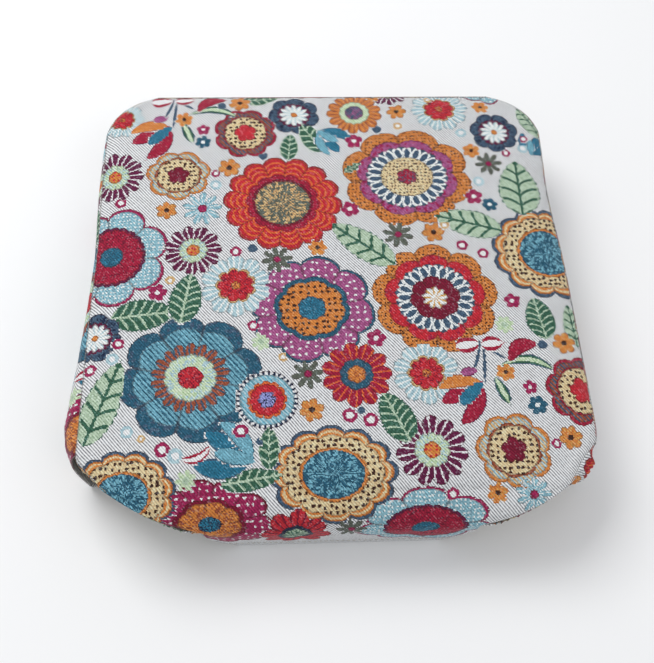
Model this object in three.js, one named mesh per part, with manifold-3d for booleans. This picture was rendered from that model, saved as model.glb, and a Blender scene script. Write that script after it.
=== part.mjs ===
// Fitted chair seat pad: a thin foam pad in a zipped tapestry cover. Its skirts drop over the
// front, sides and back of a chair seat and are drawn in under it by elastic cords in their hems.
// Its four corners are cut back to clear the chair's posts.
//
// Millimetres. X is to the right, Y to the back and Z up. The origin is the middle of the pad's
// box on the plane that the hems stand on, so the seat itself fills the space under the pad.

import * as THREE from 'three';
import { mergeVertices } from 'three/addons/utils/BufferGeometryUtils.js';
import Module from 'manifold-3d';

const wasm = await Module();
wasm.setup();

// ---- Driving dimensions -------------------------------------------------------------------

const FRONT_HALF_WIDTH = 200; // at the front end of the side seams
const BACK_HALF_WIDTH = 193; // at the back end of the side seams
const SIDE_FRONT_Y = -147; // where the side seams start, behind the front corner cuts
const SIDE_BACK_Y = 153; // where they end, ahead of the back corner cuts
const FRONT_Y = -202; // nose of the front roll
const BACK_Y = 195; // back seam
const FRONT_STRAIGHT_HALF = 105; // half of the straight length of the front edge
const BACK_STRAIGHT_HALF = 150; // half of the straight length of the back edge
const FRONT_CUT_CONTROL = new THREE.Vector2(167, -200); // bend of the front corner cuts
const BACK_CUT_CONTROL = new THREE.Vector2(187, 185); // bend of the back corner cuts

const SKIRT_DROP = 45; // from the base panel down to the hems
const CLOTH = 1.2; // tapestry
const LINING = 1; // base panels
const FOAM = 18;
const WADDING = 3.5;
const CROWN = 5; // how far the top stands up in the middle
const GAP = 0.3; // clearance between pieces that touch

const ROLL_DEPTH = 22; // how far the front roll reaches past the front of the top
const ROLL_HEIGHT = 23; // how far it falls
const SIDE_BULGE = 9; // how far the side skirts stand out past their seams
const BACK_BULGE = 7;
const HEM_RADIUS = 2.7; // bend of the cloth around the hem elastic
const HEM_TURN_UP = 6; // length of the cloth turned up behind the elastic
const ELASTIC_DIAMETER = 3;
const ELASTIC_END = 4; // from an elastic's end to the end of its hem
const BULGE_RISE = 0.7; // below 1 it lifts a skirt's widest place above the middle of its fall
const FRONT_HEM_LEAN = 3; // how far the front skirt leans back down to its hem
const FRONT_HEM_TAPER = 25; // how much each end of the front hem stops short of the front edge
const FRONT_TAPER_BEND = 2.5; // power of the curve that the taper follows
const FRONT_GUSSET_START = 0.1; // the gussets' ends, as places from 0 to 1 on their cuts
const BACK_GUSSET_START = 0.01;
const GUSSET_END = 0.99;
const FOAM_INSET = 13; // from the outline to the foam's flat faces
const FOAM_EDGE = 5; // rounding of the foam's edges
const WADDING_INSET = 8;
const WADDING_FRONT = 2; // from the start of the front roll to the wadding

const ZIP_Y = 140; // centre line of the zip, across the underside near the back
const ZIP_HALF_LENGTH = 150; // of the teeth
const ZIP_TEETH_SLOT = 1.8; // kept between the two rows so that the slider can travel
const ZIP_TEETH_WIDTH = 2;
const ZIP_TEETH_HEIGHT = 2;
const ZIP_TAPE_WIDTH = 11;
const ZIP_TAPE_THICKNESS = 0.5;
const ZIP_TAPE_END = 6; // from a tape's end to the side of the pad
const ZIP_STOP_LENGTH = 3;
const ZIP_OPENING_HALF = 5.5; // from the centre line to the edges of the base panels
const SLIDER_LENGTH = 10;
const SLIDER_WIDTH = 8;
const SLIDER_PLATE = 1;
const SLIDER_REST = 2; // from the closed slider to the end of the teeth
const POST_SETBACK = 1; // from the slider's nose to the post that joins its plates
const POST_LENGTH = 3;
const EAR_LENGTH = 3;
const EAR_THICKNESS = 0.9;
const EAR_CENTRE = 2.2; // from the zip's centre line to the middle of an ear
const EAR_BELOW_PIN = 1.2;
const PULL_PIN_RADIUS = 0.6;
const PULL_PIN_DROP = 2.2; // from the slider's underside to the middle of the pin
const PULL_LENGTH = 20;
const PULL_HALF_WIDTH = 3;
const PULL_THICKNESS = 1;
const PULL_NECK = 3.5; // from the pin to the blade
const PULL_EYE_RADIUS = 1.5;

// Heights that follow from them.
const BASE_Z = SKIRT_DROP;
const BASE_TOP_Z = BASE_Z + LINING;
const TAPE_Z = BASE_TOP_Z + GAP;
const TEETH_Z = TAPE_Z + ZIP_TAPE_THICKNESS / 2 - ZIP_TEETH_HEIGHT / 2;
const SLIDER_TOP_Z = TEETH_Z + ZIP_TEETH_HEIGHT + GAP + SLIDER_PLATE;
const FOAM_Z = SLIDER_TOP_Z + GAP;
const WADDING_Z = FOAM_Z + FOAM + GAP;
const COVER_Z = WADDING_Z + WADDING + GAP + CLOTH; // outside of the cover along its seams
const ROLL_START_Y = FRONT_Y + ROLL_DEPTH;

// ---- Plan outline ---------------------------------------------------------------------------

const frontCut = new THREE.QuadraticBezierCurve(
  new THREE.Vector2(FRONT_STRAIGHT_HALF, FRONT_Y),
  FRONT_CUT_CONTROL,
  new THREE.Vector2(FRONT_HALF_WIDTH, SIDE_FRONT_Y),
);
const backCut = new THREE.QuadraticBezierCurve(
  new THREE.Vector2(BACK_HALF_WIDTH, SIDE_BACK_Y),
  BACK_CUT_CONTROL,
  new THREE.Vector2(BACK_STRAIGHT_HALF, BACK_Y),
);

// The place along a cut, from 0 to 1, where it reaches a given Y. Y grows along both cuts.
function placeOnCut(cut, y) {
  let low = 0;
  let high = 1;
  for (let step = 0; step < 40; step += 1) {
    const middle = (low + high) / 2;
    if (cut.getPoint(middle).y < y) {
      low = middle;
    } else {
      high = middle;
    }
  }
  return (low + high) / 2;
}

// Half of the pad's width at a given Y.
function halfWidth(y) {
  if (y <= SIDE_FRONT_Y) {
    return frontCut.getPoint(placeOnCut(frontCut, y)).x;
  }
  if (y >= SIDE_BACK_Y) {
    return backCut.getPoint(placeOnCut(backCut, y)).x;
  }
  const share = (y - SIDE_FRONT_Y) / (SIDE_BACK_Y - SIDE_FRONT_Y);
  return THREE.MathUtils.lerp(FRONT_HALF_WIDTH, BACK_HALF_WIDTH, share);
}

// Rows of the outline between two Y values, closer together in the corner cuts.
function outlineRows(fromY, toY) {
  const rows = [];
  for (let step = 0; step <= 5; step += 1) {
    rows.push(THREE.MathUtils.lerp(ROLL_START_Y, SIDE_FRONT_Y, step / 5));
  }
  for (let step = 1; step < 8; step += 1) {
    rows.push(THREE.MathUtils.lerp(SIDE_FRONT_Y, SIDE_BACK_Y, step / 8));
  }
  for (let step = 0; step <= 6; step += 1) {
    rows.push(backCut.getPoint(step / 6).y);
  }
  const inside = rows.filter((y) => y > fromY + 1 && y < toY - 1);
  return [fromY, ...inside, toY];
}

// How far the top stands up at a place given by Y and by the share of the half width.
function crown(y, share) {
  if (y < ROLL_START_Y) {
    return 0;
  }
  const middle = (BACK_Y + ROLL_START_Y) / 2;
  const along = (y - middle) / (BACK_Y - middle);
  return CROWN * (1 - along ** 4) * (1 - share ** 4);
}

// Height of the cover's outside along its edge, which falls with the front roll.
function coverEdgeHeight(y) {
  if (y >= ROLL_START_Y) {
    return COVER_Z;
  }
  const reach = Math.min((ROLL_START_Y - y) / ROLL_DEPTH, 1);
  return COVER_Z - ROLL_HEIGHT * (1 - Math.sqrt(1 - reach ** 2));
}

// ---- Solid builders -------------------------------------------------------------------------

function signedVolume(positions, indices) {
  const corners = [new THREE.Vector3(), new THREE.Vector3(), new THREE.Vector3()];
  let volume = 0;
  for (let start = 0; start < indices.length; start += 3) {
    corners.forEach((corner, offset) => corner.fromArray(positions, indices[start + offset] * 3));
    volume += corners[0].dot(corners[1].clone().cross(corners[2])) / 6;
  }
  return volume;
}

// A closed solid between two grids of the same size: the outside and the inside of a cloth.
function solidBetween(outer, inner) {
  const rows = outer.length;
  const columns = outer[0].length;
  const positions = [...outer, ...inner].flat().flatMap((point) => point.toArray());
  const at = (layer, row, column) => (layer * rows + row) * columns + column;
  const indices = [];
  const quad = (a, b, c, d) => indices.push(a, b, c, a, c, d);
  for (let row = 0; row < rows - 1; row += 1) {
    for (let column = 0; column < columns - 1; column += 1) {
      quad(at(0, row, column), at(0, row, column + 1), at(0, row + 1, column + 1), at(0, row + 1, column));
      quad(at(1, row, column), at(1, row + 1, column), at(1, row + 1, column + 1), at(1, row, column + 1));
    }
  }
  for (let column = 0; column < columns - 1; column += 1) {
    const last = rows - 1;
    quad(at(0, 0, column), at(1, 0, column), at(1, 0, column + 1), at(0, 0, column + 1));
    quad(at(0, last, column), at(0, last, column + 1), at(1, last, column + 1), at(1, last, column));
  }
  for (let row = 0; row < rows - 1; row += 1) {
    const last = columns - 1;
    quad(at(0, row, 0), at(0, row + 1, 0), at(1, row + 1, 0), at(1, row, 0));
    quad(at(0, row, last), at(1, row, last), at(1, row + 1, last), at(0, row + 1, last));
  }
  if (signedVolume(positions, indices) < 0) {
    indices.reverse();
  }
  const geometry = new THREE.BufferGeometry();
  geometry.setAttribute('position', new THREE.Float32BufferAttribute(positions, 3));
  geometry.setIndex(indices);
  return geometry;
}

// The unit normals of a 2D path, to the left of its direction.
function pathNormals(path) {
  return path.map((point, index) => {
    const before = path[Math.max(index - 1, 0)];
    const after = path[Math.min(index + 1, path.length - 1)];
    const along = after.clone().sub(before).normalize();
    return new THREE.Vector2(-along.y, along.x);
  });
}

function toManifold(geometry) {
  const bare = geometry.clone();
  bare.deleteAttribute('normal');
  bare.deleteAttribute('uv');
  const merged = mergeVertices(bare, 1e-4);
  return new wasm.Manifold(
    new wasm.Mesh({
      numProp: 3,
      vertProperties: Float32Array.from(merged.attributes.position.array),
      triVerts: Uint32Array.from(merged.index.array),
    }),
  );
}

function fromManifold(solid) {
  const result = solid.getMesh();
  const geometry = new THREE.BufferGeometry();
  geometry.setAttribute('position', new THREE.Float32BufferAttribute(result.vertProperties, 3));
  geometry.setIndex(Array.from(result.triVerts));
  return geometry;
}

// A box given by its lowest and highest corners.
function boxBetween(low, high) {
  const size = high.map((value, axis) => value - low[axis]);
  const box = new THREE.BoxGeometry(...size);
  box.translate(...low.map((value, axis) => value + size[axis] / 2));
  return box;
}

// A cylinder along Y, centred on a point.
function pinAlongY(radius, length, [x, y, z]) {
  const pin = new THREE.CylinderGeometry(radius, radius, length, 20);
  pin.translate(x, y, z);
  return pin;
}

// ---- Cloth pieces ---------------------------------------------------------------------------

// The cloth around a hem: down a skirt, round the elastic and up behind it. The path is in a
// plane whose first axis is outward and whose second is Z, and it ends turned up on the inside.
function hemTurn(out, skirtEnd) {
  const centre = new THREE.Vector2(out - HEM_RADIUS, skirtEnd);
  const path = [];
  for (let step = 1; step <= 6; step += 1) {
    const angle = (Math.PI * step) / 6;
    path.push(
      new THREE.Vector2(
        centre.x + HEM_RADIUS * Math.cos(angle),
        centre.y - HEM_RADIUS * Math.sin(angle),
      ),
    );
  }
  path.push(new THREE.Vector2(out - 2 * HEM_RADIUS, skirtEnd + HEM_TURN_UP));
  return path;
}

// Height where a skirt's straight fall ends, so that the outside of its hem stands on Z 0.
const HEM_START_Z = HEM_RADIUS + CLOTH / 2;

// Tapestry top: from the back seam over the top, round the front roll and down to the front hem.
function topPanel() {
  const centre = [];
  const widths = [];
  for (const y of outlineRows(ROLL_START_Y, BACK_Y).reverse()) {
    centre.push(new THREE.Vector2(-y, COVER_Z - CLOTH / 2));
    widths.push(halfWidth(y));
  }
  const rollSteps = 8;
  for (let step = 1; step <= rollSteps; step += 1) {
    const angle = (Math.PI / 2) * (step / rollSteps);
    const reach = (ROLL_DEPTH - CLOTH / 2) * Math.sin(angle);
    const fall = ROLL_HEIGHT * (1 - Math.cos(angle));
    centre.push(new THREE.Vector2(-ROLL_START_Y + reach, COVER_Z - CLOTH / 2 - fall));
    widths.push(halfWidth(ROLL_START_Y - ROLL_DEPTH * Math.sin(angle)));
  }
  const skirtTop = centre[centre.length - 1];
  const skirtSteps = 6;
  const hemOut = skirtTop.x - FRONT_HEM_LEAN;
  for (let step = 1; step <= skirtSteps; step += 1) {
    const share = step / skirtSteps;
    const out = THREE.MathUtils.lerp(skirtTop.x, hemOut, share);
    const height = THREE.MathUtils.lerp(skirtTop.y, HEM_START_Z, share);
    centre.push(new THREE.Vector2(out, height));
    widths.push(FRONT_STRAIGHT_HALF - FRONT_HEM_TAPER * share ** FRONT_TAPER_BEND);
  }
  for (const point of hemTurn(hemOut, HEM_START_Z)) {
    centre.push(point);
    widths.push(widths[widths.length - 1]);
  }
  const normals = pathNormals(centre);
  const columns = 20;
  const layer = (offset) =>
    centre.map((point, row) => {
      const place = point.clone().addScaledVector(normals[row], offset);
      const cells = [];
      for (let column = 0; column <= columns; column += 1) {
        const share = (2 * column) / columns - 1;
        const lift = crown(-point.x, share);
        cells.push(new THREE.Vector3(share * widths[row], -place.x, place.y + lift));
      }
      return cells;
    });
  return solidBetween(layer(CLOTH / 2), layer(-CLOTH / 2));
}

// A side or back skirt: from its seam, out over the bulge, down and round the hem.
function skirt(start, end, outward, bulge) {
  const seamZ = COVER_Z - CLOTH - GAP;
  const path = [];
  const steps = 10;
  for (let step = 0; step <= steps; step += 1) {
    const share = step / steps;
    const out = bulge * Math.sin(Math.PI * share ** BULGE_RISE) - CLOTH / 2;
    path.push(new THREE.Vector2(out, THREE.MathUtils.lerp(seamZ, HEM_START_Z, share)));
  }
  path.push(...hemTurn(-CLOTH / 2, HEM_START_Z));
  const normals = pathNormals(path);
  const columns = 6;
  const layer = (offset) =>
    path.map((point, row) => {
      const out = point.x + normals[row].x * offset;
      const height = Math.min(point.y + normals[row].y * offset, seamZ);
      const cells = [];
      for (let column = 0; column <= columns; column += 1) {
        const foot = start.clone().lerp(end, column / columns).addScaledVector(outward, out);
        cells.push(new THREE.Vector3(foot.x, foot.y, height));
      }
      return cells;
    });
  return solidBetween(layer(CLOTH / 2), layer(-CLOTH / 2));
}

// The band that closes the pad's edge at a corner cut, between the cover and the base panel.
function cornerGusset(cut, from, to, side) {
  const columns = 8;
  const rows = 3;
  const layer = (offset) => {
    const grid = [];
    for (let row = 0; row <= rows; row += 1) {
      const cells = [];
      for (let column = 0; column <= columns; column += 1) {
        const place = THREE.MathUtils.lerp(from, to, column / columns);
        const along = cut.getTangent(place);
        const foot = cut.getPoint(place).addScaledVector(new THREE.Vector2(-along.y, along.x), offset);
        const underCloth = coverEdgeHeight(foot.y - CLOTH - 2 * GAP) - 2 * GAP;
        const high = Math.min(underCloth, coverEdgeHeight(foot.y) - CLOTH - GAP);
        const height = THREE.MathUtils.lerp(BASE_TOP_Z + GAP, high, row / rows);
        cells.push(new THREE.Vector3(side * foot.x, foot.y, height));
      }
      grid.push(cells);
    }
    return grid;
  };
  return solidBetween(layer(GAP), layer(GAP + CLOTH));
}

// ---- Flat and padded pieces -----------------------------------------------------------------

// The plan outline drawn smaller by an inset, between two Y values.
function insetOutline(inset, fromY, toY) {
  const right = [];
  const low = Math.max(fromY, FRONT_Y + inset);
  const high = Math.min(toY, BACK_Y - inset);
  const steps = 28;
  for (let step = 0; step <= steps; step += 1) {
    const y = THREE.MathUtils.lerp(low, high, (1 - Math.cos((Math.PI * step) / steps)) / 2);
    const ahead = halfWidth(Math.max(y - inset, FRONT_Y));
    const behind = halfWidth(Math.min(y + inset, BACK_Y));
    right.push(new THREE.Vector2(Math.min(ahead, behind, halfWidth(y) - inset), y));
  }
  const left = right.map((point) => new THREE.Vector2(-point.x, point.y)).reverse();
  return new THREE.Shape([...right, ...left]);
}

function basePanel(fromY, toY) {
  const panel = new THREE.ExtrudeGeometry(insetOutline(CLOTH + 2 * GAP, fromY, toY), {
    depth: LINING,
    bevelEnabled: false,
  });
  panel.translate(0, 0, BASE_Z);
  return panel;
}

function foamCore() {
  const foam = new THREE.ExtrudeGeometry(insetOutline(FOAM_INSET, FRONT_Y, BACK_Y), {
    depth: FOAM - 2 * FOAM_EDGE,
    bevelThickness: FOAM_EDGE,
    bevelSize: FOAM_EDGE,
    bevelSegments: 2,
  });
  foam.translate(0, 0, FOAM_Z + FOAM_EDGE);
  return foam;
}

// Soft wadding over the foam, thicker in the middle, which gives the top its crown.
function waddingSheet() {
  const rows = outlineRows(ROLL_START_Y + WADDING_FRONT, BACK_Y - WADDING_INSET);
  const columns = 16;
  const layer = (heightAt) =>
    rows.map((y) => {
      const cells = [];
      for (let column = 0; column <= columns; column += 1) {
        const share = (2 * column) / columns - 1;
        const behind = halfWidth(Math.min(y + WADDING_INSET, BACK_Y));
        const width = Math.min(halfWidth(y), behind) - WADDING_INSET;
        cells.push(new THREE.Vector3(share * width, y, heightAt(y, (share * width) / halfWidth(y))));
      }
      return cells;
    });
  const under = COVER_Z - CLOTH - 2 * GAP;
  return solidBetween(
    layer((y, share) => under + crown(y, share)),
    layer(() => WADDING_Z),
  );
}

// ---- Elastic cords --------------------------------------------------------------------------

function cordBetween(start, end) {
  const sides = 10;
  const section = new THREE.Shape();
  section.absarc(0, 0, ELASTIC_DIAMETER / 2, 0, 2 * Math.PI);
  return new THREE.ExtrudeGeometry(section, {
    steps: 1,
    bevelEnabled: false,
    curveSegments: sides,
    extrudePath: new THREE.LineCurve3(start, end),
  });
}

// ---- Zip ------------------------------------------------------------------------------------

function zipTape(side) {
  const inner = ZIP_TEETH_SLOT / 2 + ZIP_TEETH_WIDTH + GAP;
  const edges = [ZIP_Y + side * inner, ZIP_Y + side * (inner + ZIP_TAPE_WIDTH)];
  const half = BACK_HALF_WIDTH - ZIP_TAPE_END;
  return boxBetween(
    [-half, Math.min(...edges), TAPE_Z],
    [half, Math.max(...edges), TAPE_Z + ZIP_TAPE_THICKNESS],
  );
}

function zipTeeth(side) {
  const inner = ZIP_TEETH_SLOT / 2;
  const edges = [ZIP_Y + side * inner, ZIP_Y + side * (inner + ZIP_TEETH_WIDTH)];
  return boxBetween(
    [-ZIP_HALF_LENGTH, Math.min(...edges), TEETH_Z],
    [ZIP_HALF_LENGTH, Math.max(...edges), TEETH_Z + ZIP_TEETH_HEIGHT],
  );
}

function zipStop(side) {
  const half = ZIP_TEETH_SLOT / 2 + ZIP_TEETH_WIDTH;
  const start = ZIP_HALF_LENGTH + GAP;
  const edges = [side * start, side * (start + ZIP_STOP_LENGTH)];
  return boxBetween(
    [Math.min(...edges), ZIP_Y - half, TEETH_Z],
    [Math.max(...edges), ZIP_Y + half, TEETH_Z + ZIP_TEETH_HEIGHT],
  );
}

// Centre of the slider when the zip is closed.
const SLIDER_X = -(ZIP_HALF_LENGTH - SLIDER_LENGTH / 2 - SLIDER_REST);
const SLIDER_BOTTOM_Z = TEETH_Z - GAP - SLIDER_PLATE;
const PULL_PIN_Z = SLIDER_BOTTOM_Z - PULL_PIN_DROP;

function zipSlider() {
  const half = SLIDER_LENGTH / 2;
  const wide = SLIDER_WIDTH / 2;
  const post = ZIP_TEETH_SLOT / 2 - GAP;
  const postStart = SLIDER_X - half + POST_SETBACK;
  const pieces = [
    boxBetween(
      [SLIDER_X - half, ZIP_Y - wide, SLIDER_TOP_Z - SLIDER_PLATE],
      [SLIDER_X + half, ZIP_Y + wide, SLIDER_TOP_Z],
    ),
    boxBetween(
      [SLIDER_X - half, ZIP_Y - wide, SLIDER_BOTTOM_Z],
      [SLIDER_X + half, ZIP_Y + wide, SLIDER_BOTTOM_Z + SLIDER_PLATE],
    ),
    boxBetween(
      [postStart, ZIP_Y - post, SLIDER_BOTTOM_Z + SLIDER_PLATE / 2],
      [postStart + POST_LENGTH, ZIP_Y + post, SLIDER_TOP_Z - SLIDER_PLATE / 2],
    ),
    pinAlongY(PULL_PIN_RADIUS, 2 * EAR_CENTRE, [SLIDER_X, ZIP_Y, PULL_PIN_Z]),
  ];
  for (const side of [-1, 1]) {
    const middle = ZIP_Y + side * EAR_CENTRE;
    const earTop = SLIDER_BOTTOM_Z + SLIDER_PLATE / 2;
    pieces.push(
      boxBetween(
        [SLIDER_X - EAR_LENGTH / 2, middle - EAR_THICKNESS / 2, PULL_PIN_Z - EAR_BELOW_PIN],
        [SLIDER_X + EAR_LENGTH / 2, middle + EAR_THICKNESS / 2, earTop],
      ),
    );
  }
  const solids = pieces.map(toManifold);
  return fromManifold(solids.reduce((sum, solid) => sum.add(solid)));
}

function zipPullTab() {
  const pinAt = [SLIDER_X, ZIP_Y, PULL_PIN_Z];
  const eyeWidth = 2 * (EAR_CENTRE - EAR_THICKNESS / 2 - GAP);
  const neckEnd = SLIDER_X - PULL_NECK;
  const low = PULL_PIN_Z - PULL_THICKNESS / 2;
  const high = PULL_PIN_Z + PULL_THICKNESS / 2;
  const eye = toManifold(pinAlongY(PULL_EYE_RADIUS, eyeWidth, pinAt));
  const hole = toManifold(pinAlongY(PULL_PIN_RADIUS + GAP, 2 * eyeWidth, pinAt));
  // The neck runs on under the blade so that the two are one solid.
  const neck = toManifold(
    boxBetween(
      [neckEnd - PULL_THICKNESS, ZIP_Y - eyeWidth / 2, low],
      [SLIDER_X, ZIP_Y + eyeWidth / 2, high],
    ),
  );
  const roundX = neckEnd - PULL_LENGTH + PULL_HALF_WIDTH;
  const plate = new THREE.Shape();
  plate.moveTo(neckEnd, ZIP_Y - PULL_HALF_WIDTH);
  plate.lineTo(neckEnd, ZIP_Y + PULL_HALF_WIDTH);
  plate.lineTo(roundX, ZIP_Y + PULL_HALF_WIDTH);
  plate.absarc(roundX, ZIP_Y, PULL_HALF_WIDTH, Math.PI / 2, 1.5 * Math.PI);
  const blade = new THREE.ExtrudeGeometry(plate, { depth: PULL_THICKNESS, bevelEnabled: false });
  blade.translate(0, 0, low);
  return fromManifold(eye.add(neck).add(toManifold(blade)).subtract(hole));
}

// ---- Assembly -------------------------------------------------------------------------------

const material = (color, roughness, metalness = 0) =>
  new THREE.MeshStandardMaterial({ color, roughness, metalness });

const TAPESTRY = material(0xdcd9d4, 0.9);
const LINING_CLOTH = material(0xe9e5da, 0.9);
const FOAM_CREAM = material(0xf1e9c9, 0.95);
const WADDING_WHITE = material(0xf6f6f4, 1);
const ELASTIC_WHITE = material(0xf2f2ee, 0.7);
const TAPE_CREAM = material(0xd9d3c4, 0.85);
const NYLON_CREAM = material(0xcfc8b6, 0.45);
const ZIP_METAL = material(0xb9bcc0, 0.35, 1);

const pad = new THREE.Group();

function addPiece(name, geometry, surface) {
  const mesh = new THREE.Mesh(geometry, surface);
  mesh.name = name;
  pad.add(mesh);
}

addPiece('top_panel', topPanel(), TAPESTRY);
addPiece('foam_core', foamCore(), FOAM_CREAM);
addPiece('wadding_sheet', waddingSheet(), WADDING_WHITE);
addPiece('base_panel_front', basePanel(FRONT_Y, ZIP_Y - ZIP_OPENING_HALF), LINING_CLOTH);
addPiece('base_panel_rear', basePanel(ZIP_Y + ZIP_OPENING_HALF, BACK_Y), LINING_CLOTH);

const hemInset = CLOTH / 2 + HEM_RADIUS;
for (const [name, side] of [['left', -1], ['right', 1]]) {
  const front = new THREE.Vector2(side * FRONT_HALF_WIDTH, SIDE_FRONT_Y + GAP);
  const back = new THREE.Vector2(side * BACK_HALF_WIDTH, SIDE_BACK_Y - GAP);
  const outward = new THREE.Vector2(side, 0);
  addPiece(`side_skirt_${name}`, skirt(front, back, outward, SIDE_BULGE), TAPESTRY);
  const frontEnd = new THREE.Vector3(front.x - side * hemInset, front.y + ELASTIC_END, HEM_START_Z);
  const backEnd = new THREE.Vector3(back.x - side * hemInset, back.y - ELASTIC_END, HEM_START_Z);
  addPiece(`hem_elastic_${name}`, cordBetween(frontEnd, backEnd), ELASTIC_WHITE);
  const frontGusset = cornerGusset(frontCut, FRONT_GUSSET_START, GUSSET_END, side);
  const backGusset = cornerGusset(backCut, BACK_GUSSET_START, GUSSET_END, side);
  addPiece(`front_gusset_${name}`, frontGusset, TAPESTRY);
  addPiece(`back_gusset_${name}`, backGusset, TAPESTRY);
}

const backLeft = new THREE.Vector2(-BACK_STRAIGHT_HALF + GAP, BACK_Y);
const backRight = new THREE.Vector2(BACK_STRAIGHT_HALF - GAP, BACK_Y);
addPiece('back_skirt', skirt(backLeft, backRight, new THREE.Vector2(0, 1), BACK_BULGE), TAPESTRY);
addPiece(
  'hem_elastic_back',
  cordBetween(
    new THREE.Vector3(backLeft.x + ELASTIC_END, BACK_Y - hemInset, HEM_START_Z),
    new THREE.Vector3(backRight.x - ELASTIC_END, BACK_Y - hemInset, HEM_START_Z),
  ),
  ELASTIC_WHITE,
);
const frontHemY = FRONT_Y + CLOTH / 2 + FRONT_HEM_LEAN + HEM_RADIUS;
const frontHemHalf = FRONT_STRAIGHT_HALF - FRONT_HEM_TAPER - ELASTIC_END;
addPiece(
  'hem_elastic_front',
  cordBetween(
    new THREE.Vector3(-frontHemHalf, frontHemY, HEM_START_Z),
    new THREE.Vector3(frontHemHalf, frontHemY, HEM_START_Z),
  ),
  ELASTIC_WHITE,
);

for (const [name, side] of [['front', -1], ['rear', 1]]) {
  addPiece(`zip_tape_${name}`, zipTape(side), TAPE_CREAM);
  addPiece(`zip_teeth_${name}`, zipTeeth(side), NYLON_CREAM);
}
addPiece('zip_stop_left', zipStop(-1), ZIP_METAL);
addPiece('zip_stop_right', zipStop(1), ZIP_METAL);
addPiece('zip_slider', zipSlider(), ZIP_METAL);
addPiece('zip_pull_tab', zipPullTab(), ZIP_METAL);

export default pad;
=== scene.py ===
"""A fitted chair seat pad in floral tapestry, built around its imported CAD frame.

Cloth measures are in millimetres until a mesh is made; Blender's own numbers are in metres.
"""

from math import cos, pi, radians, sin

import bmesh
import bpy
import numpy as np
from mathutils import Matrix, Vector


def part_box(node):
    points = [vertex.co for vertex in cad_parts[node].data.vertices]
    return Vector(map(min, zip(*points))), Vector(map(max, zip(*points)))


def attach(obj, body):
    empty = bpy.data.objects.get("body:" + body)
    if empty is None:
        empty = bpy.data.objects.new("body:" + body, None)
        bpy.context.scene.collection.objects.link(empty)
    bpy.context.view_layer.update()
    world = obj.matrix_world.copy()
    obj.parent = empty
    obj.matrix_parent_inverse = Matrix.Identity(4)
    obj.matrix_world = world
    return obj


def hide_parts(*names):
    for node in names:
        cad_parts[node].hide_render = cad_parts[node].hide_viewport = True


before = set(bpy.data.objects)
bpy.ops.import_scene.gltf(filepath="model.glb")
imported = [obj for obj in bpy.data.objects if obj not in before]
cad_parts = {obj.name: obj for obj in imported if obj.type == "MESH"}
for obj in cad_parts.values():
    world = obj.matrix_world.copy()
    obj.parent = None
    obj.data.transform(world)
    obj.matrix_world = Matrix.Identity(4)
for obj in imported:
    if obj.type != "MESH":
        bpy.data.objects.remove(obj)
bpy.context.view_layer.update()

# ---- Sizes ----

MM = 0.001


def box_of(node):
    """A CAD node's lowest and highest corners, in millimetres."""
    return [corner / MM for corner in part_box(node)]


top_low, top_high = box_of("top_panel")
CLOTH = 1.2  # thickness of the tapestry
CROWN = 5.0
ROLL_DEPTH = 22.0
ROLL_HEIGHT = 23.0
HEM_RADIUS = 2.7
HEM_TURN_UP = 6.0
STITCH_Z = 10.5  # height of the hems' stitching
ELASTIC_RADIUS = 1.5
COVER_Z = top_high.z - CROWN  # outside of the cover along its seams
BASE_Z = box_of("base_panel_front")[0].z
GUSSET_Z = box_of("back_gusset_right")[0].z
FRONT_Y = top_low.y
BACK_Y = top_high.y
ROLL_START_Y = -180.0
FRONT_HALF_WIDTH = top_high.x
BACK_HALF_WIDTH = 193.0
SIDE_FRONT_Y = -147.0
SIDE_BACK_Y = 153.0
FRONT_STRAIGHT_HALF = 105.0
BACK_STRAIGHT_HALF = box_of("back_skirt")[1].x
FRONT_CUT = ((FRONT_STRAIGHT_HALF, -202.0), (167.0, -200.0), (FRONT_HALF_WIDTH, SIDE_FRONT_Y))
BACK_CUT = ((BACK_HALF_WIDTH, SIDE_BACK_Y), (187.0, 185.0), (BACK_STRAIGHT_HALF, BACK_Y))
HEM_START_Z = HEM_RADIUS + CLOTH / 2
SEAM_DIP = 2.2  # how far the cover dips into its seams
SEAM_GAP = 0.3  # between the cover and the edge of a skirt or gusset sewn to it
TUCK_SLOPE = 0.42  # how far the front gussets lean in, per millimetre of their height
TUCK_FADE = 26.0  # the length over which that lean starts at the side seams' ends
TAPE_END = 4.0  # what a zip tape shows past its CAD node at each end
CELL = 2.6  # size of a mesh face on the tapestry


# ---- Small helpers ----


def lerp(a, b, share):
    return a + (b - a) * share


def smooth(x):
    x = np.clip(x, 0, 1)
    return x * x * (3 - 2 * x)


def waves(x, seed, lengths, amplitude=1.0):
    """A smooth wandering curve: a sum of sines with fixed phases, about amplitude high."""
    phases = np.random.default_rng(seed).uniform(0, 2 * pi, len(lengths))
    total = sum(np.sin(2 * pi * x / length + phase) for length, phase in zip(lengths, phases))
    return amplitude * total / len(lengths)


def bezier(points, t):
    a, b, c = (np.array(p, float) for p in points)
    t = np.asarray(t, float)[..., None]
    return (1 - t) ** 2 * a + 2 * t * (1 - t) * b + t**2 * c


def as_grid(*axes):
    """Points from their coordinates, each of which is spread over all of the grid."""
    return np.stack(np.broadcast_arrays(*axes), -1)


def run_along(points):
    """How far along its path each point lies."""
    return np.r_[0, np.cumsum(np.linalg.norm(np.diff(points, axis=0), axis=1))]


CUTS = np.concatenate([bezier(cut, np.linspace(0, 1, 200)) for cut in (FRONT_CUT, BACK_CUT)])
PAD_EDGE = CUTS[np.argsort(CUTS[:, 1])]


def half_width(y):
    return np.interp(y, PAD_EDGE[:, 1], PAD_EDGE[:, 0])


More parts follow.
